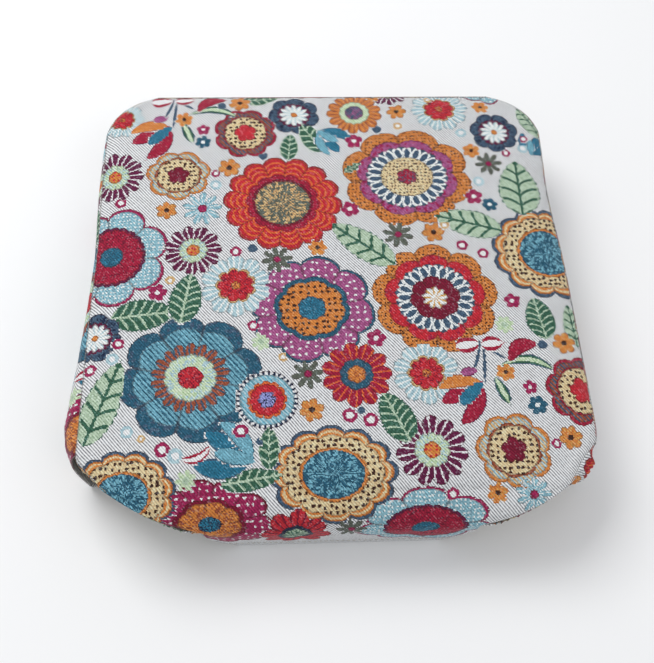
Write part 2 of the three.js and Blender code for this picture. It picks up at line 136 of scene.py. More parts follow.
# How far the elastic draws each side's seam in at the waist, and the waist's place along Y.
WAISTS = {1: (3.0, 85.0), -1: (1.2, 35.0)}
WAIST_REACH = 45.0
RIGHT_CORNER = (6.0, -158.0, 14.0)  # its pull, place and reach


def seam_pull(y, side):
    """How far the elastic draws a side's seam in between the corners."""
    pull, middle = WAISTS[side]
    waist = pull * np.exp(-(((y - middle) / WAIST_REACH) ** 2))
    if side < 0:
        return waist
    pull, middle, reach = RIGHT_CORNER
    return waist + pull * np.exp(-(((y - middle) / reach) ** 2))


def crown(y, share):
    middle = (BACK_Y + ROLL_START_Y) / 2
    along = np.clip((y - middle) / (BACK_Y - middle), -1, 1)
    return CROWN * (1 - along**4) * (1 - np.abs(share) ** 4)


def cover_edge_height(y):
    reach = np.clip((ROLL_START_Y - y) / ROLL_DEPTH, 0, 1)
    return COVER_Z - ROLL_HEIGHT * (1 - np.sqrt(1 - reach**2))


def tuck(y):
    """How far in a front gusset's lower edge goes, so that from above the cover hides it."""
    height = np.maximum(cover_edge_height(y) - CLOTH - SEAM_GAP - GUSSET_Z, 0)
    return TUCK_SLOPE * height * smooth((SIDE_FRONT_Y - y) / TUCK_FADE)


# ---- The print: motifs in cloth millimetres ----


def linear(colour):
    """sRGB to the linear numbers that Blender's colours are in."""
    return [c / 12.92 if c <= 0.04045 else ((c + 0.055) / 1.055) ** 2.4 for c in colour]


PALETTE = {
    "ground": (0.90, 0.90, 0.90),
    # the grey of the painted shade in the ground's grooves between its ribs
    "shade": (0.47, 0.48, 0.51),
    "white": (0.90, 0.91, 0.90),
    "cream": (0.85, 0.77, 0.60),
    "crimson": (0.62, 0.10, 0.22),
    "wine": (0.46, 0.07, 0.18),
    "red": (0.74, 0.15, 0.20),
    "orange": (0.84, 0.40, 0.20),
    "rust": (0.60, 0.31, 0.21),
    "ochre": (0.81, 0.50, 0.24),
    "straw": (0.80, 0.61, 0.34),
    "tan": (0.80, 0.66, 0.46),
    "brown": (0.24, 0.13, 0.10),
    "mauve": (0.62, 0.31, 0.50),
    "plum": (0.38, 0.09, 0.25),
    "magenta": (0.60, 0.13, 0.32),
    "teal": (0.16, 0.44, 0.55),
    "deep_teal": (0.15, 0.34, 0.43),
    "light_blue": (0.44, 0.66, 0.73),
    "powder": (0.53, 0.70, 0.75),
    "pale_blue": (0.66, 0.77, 0.80),
    "lavender": (0.56, 0.58, 0.80),
    "slate": (0.24, 0.33, 0.42),
    "navy": (0.10, 0.15, 0.26),
    "moss": (0.20, 0.37, 0.29),
    "sage": (0.69, 0.77, 0.67),
    "mint": (0.76, 0.83, 0.70),
    "grey_green": (0.36, 0.38, 0.34),
}
PALETTE = {name: linear(colour) for name, colour in PALETTE.items()}

PLAIN, DOTS, RAYS, TWILL, SPECKLE, LOOPS, CONTOURS = range(7)
LAYERS = 5


def ring(radius, colour, petals=0, depth=0.0, texture=PLAIN, count=0.0, inner=0.0, spot="ground"):
    """One layer of a rosette. Radius is a share of the motif's radius. Count is a spacing in
    millimetres or a number of strokes, and inner says how little of the layer they cover."""
    return dict(
        shape=(radius, petals, depth),
        texture=(texture, count, inner),
        colour=PALETTE[colour],
        spot=PALETTE[spot],
    )


def dotted(core, radius_of_core=0.36):
    """The medium rosettes' middle: a dotted cream ring round a star."""
    return [
        ring(0.66, "cream", 8, 0.04, DOTS, 4.4, 0.42, "brown"),
        ring(radius_of_core, core, 5, 0.30),
    ]


ROSETTES = {
    "ember": [
        ring(1.00, "crimson", 14, 0.13),
        ring(0.97, "red", 14, 0.13, CONTOURS, 4.6, 0.45, "orange"),
        ring(0.61, "crimson", 14, 0.08),
        ring(0.51, "wine", 14, 0.04),
        ring(0.46, "grey_green", texture=SPECKLE, inner=0.60, spot="tan"),
    ],
    "sunwheel": [
        ring(1.00, "ochre", 8, 0.15, DOTS, 3.4, 0.50, "brown"),
        ring(0.78, "mauve", 8, 0.13, SPECKLE, inner=0.72, spot="magenta"),
        ring(0.63, "slate", 22, 0.08, LOOPS, 22, 0.32, "white"),
        ring(0.40, "cream", texture=DOTS, count=3.4, inner=0.50, spot="brown"),
        ring(0.16, "crimson", 6, 0.20, SPECKLE, inner=0.70, spot="slate"),
    ],
    "carnival": [
        ring(1.00, "ochre", 9, 0.15, DOTS, 3.2, 0.50, "brown"),
        ring(0.80, "red", 9, 0.14, SPECKLE, inner=0.85, spot="crimson"),
        ring(0.63, "slate", 20, 0.10, LOOPS, 20, 0.32, "white"),
        ring(0.40, "wine", 8, 0.12),
        ring(0.20, "white", 9, 0.30, RAYS, 9, 0.50, "straw"),
    ],
    "orchid": [
        ring(1.00, "deep_teal", 8, 0.16),
        ring(0.95, "mauve", 8, 0.16, DOTS, 6.0, 0.64, "white"),
        ring(0.60, "deep_teal", 8, 0.09),
        ring(0.52, "ochre", 8, 0.12, DOTS, 5.4, 0.50, "brown"),
        ring(0.22, "teal", 6, 0.10, SPECKLE, inner=0.60, spot="deep_teal"),
    ],
    "lagoon": [
        ring(1.00, "deep_teal", 8, 0.17, SPECKLE, inner=0.80, spot="slate"),
        ring(0.80, "light_blue", 8, 0.13, TWILL, 3.2, 0.45, "deep_teal"),
        ring(0.55, "rust", 18, 0.24, RAYS, 36, 0.55, "slate"),
        ring(0.37, "mint", 14, 0.08, SPECKLE, inner=0.70, spot="pale_blue"),
        ring(0.18, "red", 5, 0.10, SPECKLE, inner=0.75, spot="wine"),
    ],
    "frill": [
        ring(1.00, "slate", 12, 0.13),
        ring(0.93, "ochre", 12, 0.13, CONTOURS, 5.0, 0.10, "cream"),
        ring(0.79, "cream", 12, 0.08, DOTS, 4.6, 0.40, "brown"),
        ring(0.54, "ochre", 16, 0.05),
        ring(0.48, "deep_teal", texture=SPECKLE, inner=0.62, spot="light_blue"),
    ],
    "cloud": [
        ring(1.00, "magenta", 7, 0.22),
        ring(0.94, "powder", 7, 0.22, DOTS, 3.4, 0.52, "white"),
        ring(0.60, "plum", 22, 0.06),
        ring(0.55, "crimson", 22, 0.06, SPECKLE, inner=0.80, spot="wine"),
        ring(0.20, "deep_teal", texture=SPECKLE, inner=0.60, spot="teal"),
    ],
    "garnet": [
        ring(1.00, "wine", 10, 0.15),
        ring(0.96, "magenta", 10, 0.15, DOTS, 5.6, 0.64, "white"),
        ring(0.58, "wine", 8, 0.12),
        ring(0.50, "ochre", 8, 0.14, SPECKLE, inner=0.70, spot="rust"),
        ring(0.18, "teal", texture=SPECKLE, inner=0.60, spot="navy"),
    ],
    "poppy": [
        ring(1.00, "red", 8, 0.28, RAYS, 24, 0.60, "wine"),
        ring(0.50, "navy", 8, 0.10),
        ring(0.38, "moss", 8, 0.10, SPECKLE, inner=0.55, spot="sage"),
    ],
    "rosehip": [
        ring(1.00, "crimson", 8, 0.17),
        ring(0.90, "rust", 8, 0.17, TWILL, 3.0, 0.10, "slate"),
        ring(0.71, "crimson", 8, 0.06),
        *dotted("red"),
    ],
    "biscuit": [
        ring(1.00, "ochre", 7, 0.17),
        ring(0.91, "tan", 7, 0.17, TWILL, 3.0, 0.10, "pale_blue"),
        ring(0.73, "rust", 9, 0.10),
        *dotted("wine", 0.35),
    ],
    "inkwell": [
        ring(1.00, "slate", 7, 0.17, SPECKLE, inner=0.75, spot="navy"),
        ring(0.66, "plum", 18, 0.12),
        ring(0.58, "white", 12, 0.34, RAYS, 12, 0.70, "pale_blue"),
        ring(0.13, "ochre"),
    ],
    "marigold": [
        ring(1.00, "ochre", 13, 0.20, RAYS, 26, 0.62, "rust"),
        ring(0.56, "mint", 13, 0.10),
        ring(0.34, "slate", 8, 0.12, SPECKLE, inner=0.60, spot="mauve"),
    ],
    "frost": [
        ring(1.00, "pale_blue", 10, 0.20, RAYS, 30, 0.55, "white"),
        ring(0.58, "tan", 9, 0.20),
        ring(0.52, "red", 9, 0.22, SPECKLE, inner=0.82, spot="wine"),
        ring(0.14, "ochre", 5, 0.20, SPECKLE, inner=0.60, spot="wine"),
    ],
    "aster": [
        ring(1.00, "plum", 11, 0.24, RAYS, 22, 0.80, "ground"),
        ring(0.50, "mint", 11, 0.14, SPECKLE, inner=0.70, spot="pale_blue"),
        ring(0.24, "ochre", 6, 0.10, DOTS, 4.0, 0.45, "red"),
    ],
    "target": [
        ring(1.00, "navy", texture=RAYS, count=34, spot="ground"),
        ring(0.88, "light_blue", texture=TWILL, count=3.0, inner=0.2, spot="pale_blue"),
        ring(0.66, "orange", 12, 0.14),
        ring(0.57, "red", 12, 0.12),
        ring(0.30, "lavender", 6, 0.20, SPECKLE, inner=0.60, spot="navy"),
    ],
    "cherry": [
        ring(1.00, "crimson", 11, 0.24, RAYS, 22, 0.80, "orange"),
        ring(0.48, "deep_teal", 8, 0.08, SPECKLE, inner=0.75, spot="slate"),
        ring(0.27, "ochre", 6, 0.12, SPECKLE, inner=0.75, spot="rust"),
    ],
    "primrose": [
        ring(1.00, "ochre", 6, 0.40, SPECKLE, inner=0.75, spot="straw"),
        ring(0.24, "brown"),
    ],
    "pink": [ring(1.00, "magenta", 5, 0.38), ring(0.26, "white")],
    "bluet": [ring(1.00, "deep_teal", 6, 0.38), ring(0.26, "white")],
    "pip": [ring(1.00, "magenta", 5, 0.10), ring(0.48, "white")],
    "sky_pip": [ring(1.00, "pale_blue"), ring(0.50, "ground")],
    "seed": [ring(1.00, "slate")],
    "straw_pip": [ring(1.00, "tan"), ring(0.46, "ground")],
    "fern_star": [ring(1.00, "grey_green", 8, 0.76), ring(0.24, "magenta")],
    "ice_star": [ring(1.00, "powder", 9, 0.72, RAYS, 18, 0.80, "white"), ring(0.24, "magenta")],
    "mint_star": [ring(1.00, "mint", 7, 0.50), ring(0.34, "sage")],
}


def leaf_style(fill, vein, outline=0.06, veins=4.0, band=0.0, core="ground"):
    colours = dict(colour0=PALETTE[fill], spot0=PALETTE[vein], colour1=PALETTE[core])
    return dict(veins=(veins, band), texture0=(outline, 0.0, 0.0), **colours)


LEAVES = {
    "dark_leaf": leaf_style("moss", "sage", 0.0, 3.6),
    "pale_leaf": leaf_style("sage", "moss", 0.05, 2.6),
    "small_leaf": leaf_style("moss", "sage", 0.10, 2.4),
    "petal": leaf_style("crimson", "plum", 0.14, 0),
    "gold_petal": leaf_style("ochre", "rust", 0.14, 0),
    "blue_petal": leaf_style("teal", "slate", 0.14, 0),
    "pale_petal": leaf_style("light_blue", "deep_teal", 0.16, 0),
    "bow": leaf_style("ground", "crimson", 0.54, 0),
    "stem": leaf_style("slate", "slate", 0.0, 0),
    "crescent": leaf_style("crimson", "wine", 0.16, 0),
    "green_crescent": leaf_style("moss", "slate", 0.22, 0, 0.4, "mint"),
    "drop": leaf_style("mauve", "plum", 0.22, 0),
}

# Flowers: kind, middle (x, y), radius, turn in degrees, and how far it is squashed along the pad.
FLOWERS = [
    ("ember", -40, 73, 51, 21, 0.06),
    ("sunwheel", 68, 99, 57, 29, 0.09),
    ("carnival", 82, -21, 52, 8, 0.02),
    ("orchid", -19, -29, 52, 33, 0.05),
    ("lagoon", -115, -88, 56, 10, 0.03),
    ("frill", -7, -168, 49, 2, 0.21),
    ("frill", 180, 23, 47, 18, 0.05),
    ("frill", -164, -180, 41, 12, 0.14),
    ("cloud", -182, 24, 48, 20, 0.0),
    ("cloud", 62, -212, 55, 90, 0.39),
    ("garnet", -100, -203, 48, 31, 0.29),
    ("poppy", -36, -219, 27, 37, 0.0),
    ("biscuit", -129, 103, 28, 15, 0.07),
]
# Smaller flowers and fillers: the middle (x, y) and radius of each one of a kind.
FILLERS = {
    "rosehip": [(-71, 148, 28), (192, -103, 30)],
    "inkwell": [(-28, 169, 23), (150, 148, 22), (-191, -50, 22)],
    "marigold": [(26, 171, 25)],
    "frost": [(103, 175, 26), (-80, -7, 29), (69, -88, 27), (-180, 166, 20)],
    "ice_star": [(143, -186, 14), (-108, 68, 17)],
    "biscuit": [(131, -152, 30)],
    "aster": [(-183, 104, 25), (-115, 27, 24), (68, -151, 28), (58, 203, 22)],
    "target": [(-56, -108, 24)],
    "cherry": [(14, -88, 28)],
    "primrose": [
        (-76, 184, 10), (-125, 164, 8), (-85, 110, 10), (-138, 67, 9), (-12, 28, 8), (64, 172, 9),
        (127, 127, 8), (86, 42, 10), (141, 178, 8), (183, -62, 10), (132, -88, 8), (177, -142, 10),
        (116, -185, 8), (-22, -117, 10), (44, 194, 8),
    ],
    "pink": [
        (-108, 152, 6), (-143, -12, 8), (24, 138, 8), (17, 66, 8), (124, 78, 8), (31, -57, 8),
        (150, -101, 6), (145, -24, 7),
    ],
    "pip": [
        (-177, 77, 5), (-80, 25, 5), (176, 142, 4), (158, 125, 4), (109, 29, 5), (126, 21, 5),
        (-193, -78, 5), (-172, -57, 5), (-76, -133, 6), (-135, -146, 6), (-66, -44, 5),
        (7, -122, 6), (23, -126, 6), (165, -147, 4), (-97, 104, 4), (82, -185, 5),
    ],
    "fern_star": [(-46, 17, 13), (141, 113, 12), (56, 40, 13), (-24, -87, 13), (6, -212, 12)],
    "bluet": [(-108, 138, 7), (137, 70, 7), (154, -116, 8)],
    "sky_pip": [
        (120, 147, 5), (130, 94, 5), (174, 131, 5), (-162, -131, 5), (-125, -151, 6),
        (-176, -70, 5), (-97, 92, 5),
    ],
    "mint_star": [(-60, -58, 8), (-117, -170, 8), (136, -46, 8)],
    "seed": [
        (-66, 28, 4), (-56, 122, 4), (45, 151, 4), (165, -64, 4), (-62, -142, 3), (16, -118, 3),
        (-92, 180, 4),
    ],
    "straw_pip": [
        (96, 49, 4), (64, 155, 4), (-133, -1, 4), (-43, -72, 4), (94, 188, 4), (-151, -137, 3),
    ],
    "cloud": [(148, 209, 26)],
}
for kind, places in FILLERS.items():
    for x, y, radius in places:
        FLOWERS.append((kind, x, y, radius, (x * 7 + y * 3) % 40, 0.0))

# Leaves: the middle (x, y), half length, half width and turn in degrees of each one of a kind.
LEAF_PLACES = {
    "dark_leaf": [
        (-120, -18, 23, 13, 80), (-153, -32, 26, 14, 5), (166, -40, 19, 12, 100),
        (43, -124, 22, 13, 115), (-68, -171, 24, 8, 8),
    ],
    "pale_leaf": [
        (-182, -107, 36, 14, 70), (26, 31, 32, 13, 142), (117, 51, 29, 13, 165),
        (165, 88, 28, 18, 90), (193, -45, 19, 8, 95), (184, 162, 18, 9, 120),
    ],
    "small_leaf": [
        (-55, -147, 17, 8, 90), (-33, 132, 14, 8, 85), (-13, 142, 18, 10, 120),
        (-58, 190, 16, 8, 10), (21, 109, 9, 4, 30),
    ],
}
FOLIAGE = [(kind, *place, 0.0) for kind, places in LEAF_PLACES.items() for place in places]


def petal(kind, x, y, length, width, turn, bend=0.0):
    """A petal or leaf placed by its foot, at (x, y), and pointing along its turn."""
    reach = length * 0.5
    middle_x = x + reach * cos(radians(turn))
    middle_y = y + reach * sin(radians(turn))
    return (kind, middle_x, middle_y, reach, width * 0.5, turn + 180, bend)


def bud(x, y, turn, size, side="petal", edge="gold_petal", middle="blue_petal"):
    """A half-open flower: four petals that fan from one foot."""
    return [
        petal(edge, x, y, size * 0.95, size * 0.30, turn - 34, -0.25),
        petal(side, x, y, size * 1.05, size * 0.36, turn + 26, 0.25),
        petal(side, x, y, size, size * 0.36, turn - 12),
        petal(middle, x, y, size * 0.72, size * 0.30, turn + 6),
    ]


def sprig(x, y):
    """A tied sprig, placed by its bow's knot: loops, stems, leaves and a bud."""
    return [
        ("bow", x - 11, y, 10, 7, 8, 0.0),
        ("bow", x + 9, y + 1, 9, 6.5, 5, 0.0),
        ("stem", x - 4, y - 9, 14, 1.3, 74, 0.10),
        petal("drop", x - 5, y - 22, 14, 8, 190),
        ("stem", x + 1, y - 16, 18, 1.3, 86, 0.0),
        petal("green_crescent", x + 8, y - 28, 24, 9, 292),
        *bud(x - 2, y - 32, 218, 38),
        ("stem", x + 9, y - 6, 11, 1.2, 145, 0.0),
        petal("green_crescent", x + 14, y - 15, 42, 9, -4, 0.35),
        petal("crescent", x + 19, y - 13, 30, 13, 34, 0.4),
    ]


FOLIAGE += sprig(-134, 188)
FOLIAGE += sprig(115, -64)
FOLIAGE += bud(-8, 150, -40, 30, "blue_petal", "pale_petal", "pale_petal")
FOLIAGE += bud(-66, -158, 158, 44, "blue_petal", "pale_petal", "pale_petal")
FOLIAGE += bud(181, 124, 80, 24, "blue_petal", "blue_petal", "pale_petal")
FOLIAGE += [petal("bow", -98, -146, 24, 8, 205, 0.4)]


def motif(kind, x, y, size, turn, bend, attributes):
    """A motif of the print: its place, size, turn in radians, bend, and what its faces hold."""
    turn = radians(turn)
    attributes = dict(attributes, place=(x, y, size[0]), pose=(turn, kind, bend))
    return dict(at=(x, y), size=size, turn=turn, bend=bend, kind=kind, attributes=attributes)


FLOWER, LEAF = 1.0, 2.0
MOTIFS = []
for kind, x, y, radius, turn, squash in FLOWERS:
    held = {}
    for index, layer in enumerate(ROSETTES[kind]):
        held.update({f"{name}{index}": values for name, values in layer.items()})
    MOTIFS.append(motif(FLOWER, x, y, (radius, radius), turn, squash, held))
for kind, x, y, length, width, turn, bend in FOLIAGE:
    held = dict(LEAVES[kind])
    held["shape0"] = (width / length, *held.pop("veins"))
    MOTIFS.append(motif(LEAF, x, y, (length, width), turn, bend, held))
LEAF_TAPER = 0.62  # how bluntly a leaf ends
LEAF_LEAN = 0.18  # how much narrower it gets toward its far end
SCALLOP = 0.6  # how round a rosette's petals are


def distance_outside(motif, x, y):
    """Millimetres from points at (x, y) of the motif's middle to its painted edge; less than
    nothing inside it."""
    length, width = motif["size"]
    if motif["kind"] == FLOWER:
        y = y / (1 - motif["bend"])
    along = (x * cos(motif["turn"]) + y * sin(motif["turn"])) / length
    across = (y * cos(motif["turn"]) - x * sin(motif["turn"])) / length
    if motif["kind"] == FLOWER:
        radius, petals, depth = motif["attributes"]["shape0"]
        angle = np.arctan2(across, along)
        scallop = np.abs(np.cos(angle * petals / 2)) ** SCALLOP
        edge = radius * (1 - depth * (1 - scallop))
        return (np.hypot(along, across) - edge) * length
    across = np.abs(across - motif["bend"] * (along**2 - 0.5)) * length
    inside = np.clip(1 - along**2, 0, 1)
    edge = width * inside**LEAF_TAPER * (1 - along * LEAF_LEAN)
    past_end = np.maximum(np.abs(along) - 1, 0) * length
    return np.hypot(np.maximum(across - edge, 0), past_end) + np.minimum(across - edge, 0)


def choose_motifs(middles):
    """For each face's middle, in cloth millimetres, the motif it shows, or -1. Where motifs
    cross, the smallest one is on top."""
    reach = CELL * 0.9
    nearest = np.full(len(middles), reach)
    chosen = np.full(len(middles), -1)
    order = sorted(range(len(MOTIFS)), key=lambda index: -MOTIFS[index]["size"][0])
    for index in order:
        motif = MOTIFS[index]
        x, y = (middles - np.array(motif["at"])).T
        close = np.hypot(x, y) < motif["size"][0] * 1.1 + reach
        outside = np.full(len(middles), 99.0)
        outside[close] = distance_outside(motif, x[close], y[close])
        better = (outside < 0) | (outside < nearest)
        nearest[better] = outside[better]
        chosen[better] = index
    return chosen


def face_tables():
    """One row of numbers per motif, and a last row for plain ground, for each attribute."""
    names = ["place", "pose"]
    for index in range(LAYERS):
        names += [f"shape{index}", f"texture{index}", f"colour{index}", f"spot{index}"]
    tables = {name: np.zeros((len(MOTIFS) + 1, 3), np.float32) for name in names}
    for row, item in enumerate(MOTIFS):
        for name, values in item["attributes"].items():
            tables[name][row] = values
    return tables


FACE_TABLES = face_tables()


# ---- Meshes ----


def link_object(name, data):
    """A new object in the scene."""
    made = bpy.data.objects.new(name, data)
    bpy.context.scene.collection.objects.link(made)
    return made


def put_in_scene(name, mesh, material=None, smooth_shading=True):
    """A mesh's new object, with one material. Its faces' shading is left alone if None."""
    if smooth_shading is not None:
        mesh.polygons.foreach_set("use_smooth", [smooth_shading] * len(mesh.polygons))
    if material:
        mesh.materials.append(material)
    return link_object(name, mesh)


def make_object(name, points, faces, material=None, smooth_shading=True):
    """A mesh object from points in millimetres."""
    mesh = bpy.data.meshes.new(name)
    mesh.from_pydata((np.asarray(points, float) * MM).tolist(), [], [f.tolist() for f in faces])
    mesh.update()
    return put_in_scene(name, mesh, material, smooth_shading)


def shell_faces(rows, columns):
    """Quads of a closed shell between two grids of rows by columns points."""
    row, column = np.meshgrid(np.arange(rows - 1), np.arange(columns - 1), indexing="ij")
    a = (row * columns + column).ravel()
    outer = np.stack([a, a + 1, a + columns + 1, a + columns], 1)
    side = rows * columns
    inner = outer[:, ::-1] + side
    top = np.arange(columns - 1)
    bottom = top + (rows - 1) * columns
    left = np.arange(rows - 1) * columns
    right = left + columns - 1
    rims = [
        np.stack([top + side, top + 1 + side, top + 1, top], 1),
        np.stack([bottom, bottom + 1, bottom + 1 + side, bottom + side], 1),
        np.stack([left, left + columns, left + columns + side, left + side], 1),
        np.stack([right + side, right + columns + side, right + columns, right], 1),
    ]
    return outer, np.concatenate([inner, *rims])


def grid_normals(grid):
    """Unit normals of a grid of points, along rows x columns."""
    along = np.gradient(grid, axis=0)
    across = np.gradient(grid, axis=1)
    normal = np.cross(across, along)
    return normal / np.maximum(np.linalg.norm(normal, axis=2, keepdims=True), 1e-9)


def cloth_piece(name, middle, print_place, outward):
    """A tapestry piece: a closed shell round a grid of points. print_place gives each point's
    place on the printed cloth, and outward is a direction that its printed side faces."""
    normals = grid_normals(middle)
    facing = np.sign((normals * np.asarray(outward, float)).sum(2).sum())
    flip = facing < 0
    normals = normals * (-1 if flip else 1)
    outer = middle + normals * CLOTH / 2
    inner = middle - normals * CLOTH / 2
    rows, columns = middle.shape[:2]
    printed, plain = shell_faces(rows, columns)
    if not flip:
        printed, plain = printed[:, ::-1], plain[:, ::-1]
    points = np.concatenate([outer.reshape(-1, 3), inner.reshape(-1, 3)])
    piece = make_object(name, points, np.concatenate([printed, plain]), TAPESTRY)
    place = np.concatenate([print_place.reshape(-1, 2)] * 2)
    store_print(piece, place, printed, plain)
    return piece


def store_print(piece, place, printed, plain):
    """Puts each point's place on the cloth, and what its motif looks like, on the mesh."""
    mesh = piece.data
    cloth = mesh.attributes.new("cloth", "FLOAT_VECTOR", "POINT")
    side = np.zeros(len(mesh.vertices))
    cloth.data.foreach_set("vector", np.column_stack([place, side]).astype(np.float32).ravel())
    found = choose_motifs(place[np.concatenate([printed, plain])].mean(1))
    chosen = np.where(found < 0, len(MOTIFS), found)
    for attribute, table in FACE_TABLES.items():
        layer = mesh.attributes.new(attribute, "FLOAT_VECTOR", "FACE")
        layer.data.foreach_set("vector", table[chosen].ravel())
    back = mesh.attributes.new("reverse", "FLOAT", "FACE")
    reverse = np.ones(len(mesh.polygons), np.float32)
    reverse[: len(printed)] = 0
    back.data.foreach_set("value", reverse)


# ---- Shader arithmetic ----


def fill(tree, socket, value):
    """Links a node's output into a socket, or sets the socket to a number or colour."""
    if isinstance(value, Number):
        tree.links.new(value.socket, socket)
    else:
        socket.default_value = (*value, 1) if isinstance(value, (tuple, list)) else value


class Number:
    """An output in a node tree, so that formulas read as plain arithmetic."""

    def __init__(self, tree, socket):
        self.tree = tree
        self.socket = socket

    def node(self, operation, *inputs):
        made = self.tree.nodes.new("ShaderNodeMath")
        made.operation = operation
        for slot, value in zip(made.inputs, (self, *inputs)):
            fill(self.tree, slot, value)
        return Number(self.tree, made.outputs[0])

    def __rsub__(self, other):
        return (self * -1) + other

    def is_code(self, code):
        return self.node("COMPARE", float(code), 0.25)


def add_operation(name, operation):
    setattr(Number, name, lambda self, *inputs: self.node(operation, *inputs))


for method, operation in {
    "__add__": "ADD",
    "__radd__": "ADD",
    "__sub__": "SUBTRACT",
    "__mul__": "MULTIPLY",
    "__rmul__": "MULTIPLY",
    "__truediv__": "DIVIDE",
    "under": "LESS_THAN",
    "over": "GREATER_THAN",
    "sine": "SINE",
    "cosine": "COSINE",
    "absolute": "ABSOLUTE",
    "power": "POWER",
    "snap": "SNAP",
    "fraction": "FRACT",
    "floor": "FLOOR",
    "least": "MINIMUM",
    "most": "MAXIMUM",
}.items():
    add_operation(method, operation)


class Shader:
    """A material's node tree with short ways to make the nodes used here."""

    def __init__(self, name, roughness=0.9, metallic=0.0, specular=0.3):
        self.material = bpy.data.materials.new(name)
        self.material.use_nodes = True
        self.tree = self.material.node_tree
        self.bsdf = self.tree.nodes["Principled BSDF"]
        finish = {"Roughness": roughness, "Metallic": metallic, "Specular IOR Level": specular}
        self.fill_all(self.bsdf, finish)

    def fill_all(self, node, inputs):
        for slot, value in inputs.items():
            fill(self.tree, node.inputs[slot], value)

    def new(self, kind, out, inputs, **settings):
        """One output of a new node, whose settings and inputs are given."""
        node = self.tree.nodes.new("ShaderNode" + kind)
        for name, value in settings.items():
            setattr(node, name, value)
        self.fill_all(node, inputs)
        return Number(self.tree, node.outputs[out])

    def attribute(self, name, out="Vector"):
        return self.new("Attribute", out, {}, attribute_type="GEOMETRY", attribute_name=name)

    def parts(self, vector):
        split = self.new("SeparateXYZ", 0, {0: vector}).socket.node
        return [Number(self.tree, out) for out in split.outputs]

    def combine(self, x, y, z=0.0):
        return self.new("CombineXYZ", 0, {0: x, 1: y, 2: z})

    def mix(self, factor, under, over, blend="MIX"):
        inputs = {0: factor, 6: under, 7: over}
        return self.new("Mix", 2, inputs, data_type="RGBA", blend_type=blend)

    def noise(self, vector, scale, detail=2.0, roughness=0.5):
        inputs = {"Scale": scale, "Detail": detail, "Roughness": roughness, "Vector": vector}
        return self.new("TexNoise", "Fac", inputs)

    def white_noise(self, vector):
        return self.new("TexWhiteNoise", "Value", {"Vector": vector})

    def cell_distance(self, vector):
        """How far a point is from the nearest dot of a loosely spaced grid of pitch 1."""
        inputs = {"Scale": 1.0, "Randomness": 0.5, "Vector": vector}
        return self.new("TexVoronoi", "Distance", inputs, voronoi_dimensions="2D")

    def object_place(self):
        return self.new("TexCoord", "Object", {})

    def finish(self, colour, height, strength, distance):
        """Connects the colour and the bump; gives the material."""
        inputs = {"Strength": strength, "Distance": distance, "Height": height}
        self.fill_all(self.bsdf, {"Base Color": colour, "Normal": self.new("Bump", 0, inputs)})
        return self.material

    def sheen(self, weight, roughness=0.5):
        self.fill_all(self.bsdf, {"Sheen Weight": weight, "Sheen Roughness": roughness})


THREAD = 0.85  # spacing of the tapestry's threads
TWILL_SPACING = 1.9  # spacing of its diagonal ribs
OUTLINE = 0.95  # width of the dark line round a rosette's layers
TWILL_SLOPE = (0.76, 0.65)  # the ribs run down to the right
PAINTED_RIB_SHADE = 0.84  # how strongly painted shade darkens the ground between its ribs
GRAIN = 0.12  # how strongly its threads differ
THREAD_CONTRAST = 0.32  # how strongly threads of any colour differ
FLECK_LIMIT, FLECK = 0.88, 0.13  # which threads are paler, and by how much
PAINTED_GAP_COLOUR, PAINTED_GAP_SHADE = (0.22, 0.22, 0.26), 0.42  # colour and strength of the painted shade between the ribs, in every colour
REVERSE_COLOUR, REVERSE_SHARE = (0.60, 0.58, 0.56), 0.68  # the unprinted side


def rosette_layer(shader, index, polar, place, under):
    """Paints one layer of a rosette over the colour so far."""
    rho, phi = polar
    u, v, size, wobble = place
    wobbly_u = u + wobble * 3.0
    radius, petals, depth = shader.parts(shader.attribute(f"shape{index}"))
    code, count, bare = shader.parts(shader.attribute(f"texture{index}"))
    colour = shader.attribute(f"colour{index}")
    spot = shader.attribute(f"spot{index}")
    scallop = (phi * petals * 0.5).cosine().absolute().power(SCALLOP)
    edge = radius * (1 - depth * (1 - scallop))
    inside = rho.under(edge)
    spacing = count.most(0.5)
    dots = 1 - shader.cell_distance(shader.combine(wobbly_u / spacing, v / spacing)) * 2
    rays = (phi * count).sine()
    stripes = ((u * TWILL_SLOPE[0] + v * TWILL_SLOPE[1]) / spacing * 2 * pi).sine()
    stroke = shader.combine((phi * 17).floor(), (rho * size / 2.6 + phi * 4.3).floor())
    value = dots * code.is_code(DOTS) + rays * code.is_code(RAYS)
    value = value + stripes * code.is_code(TWILL)
    value = value + shader.white_noise(stroke) * code.is_code(SPECKLE)
    if index < 2:
        ripple = ((rho / edge.most(0.001)) * count * 4 * pi).sine()
        value = value + ripple * code.is_code(CONTOURS)
    pattern = value.over(bare)
    if index == 2:
        sector = ((phi * count / (2 * pi)).fraction() - 0.5) * 2
        middle = (radius + bare) * 0.5
        deep = (rho - middle) / ((radius - bare) * 0.5).most(0.001)
        oval = sector * sector + deep * deep
        loops = oval.over(0.42) * oval.under(1.0) * code.is_code(LOOPS)
        pattern = pattern * (1 - code.is_code(LOOPS)) + loops
    painted = shader.mix(pattern.least(1.0), colour, spot)
    rim = ((edge - rho) * size).under(OUTLINE)
    notch = scallop.under(0.27) * depth.over(0.1) * rho.over(radius * 0.6)
    outline = rim.most(notch) * size.over(OUTLINE * 9) * 0.5
    painted = shader.mix(outline, painted, PALETTE["brown"])
    return shader.mix(inside, under, painted), inside


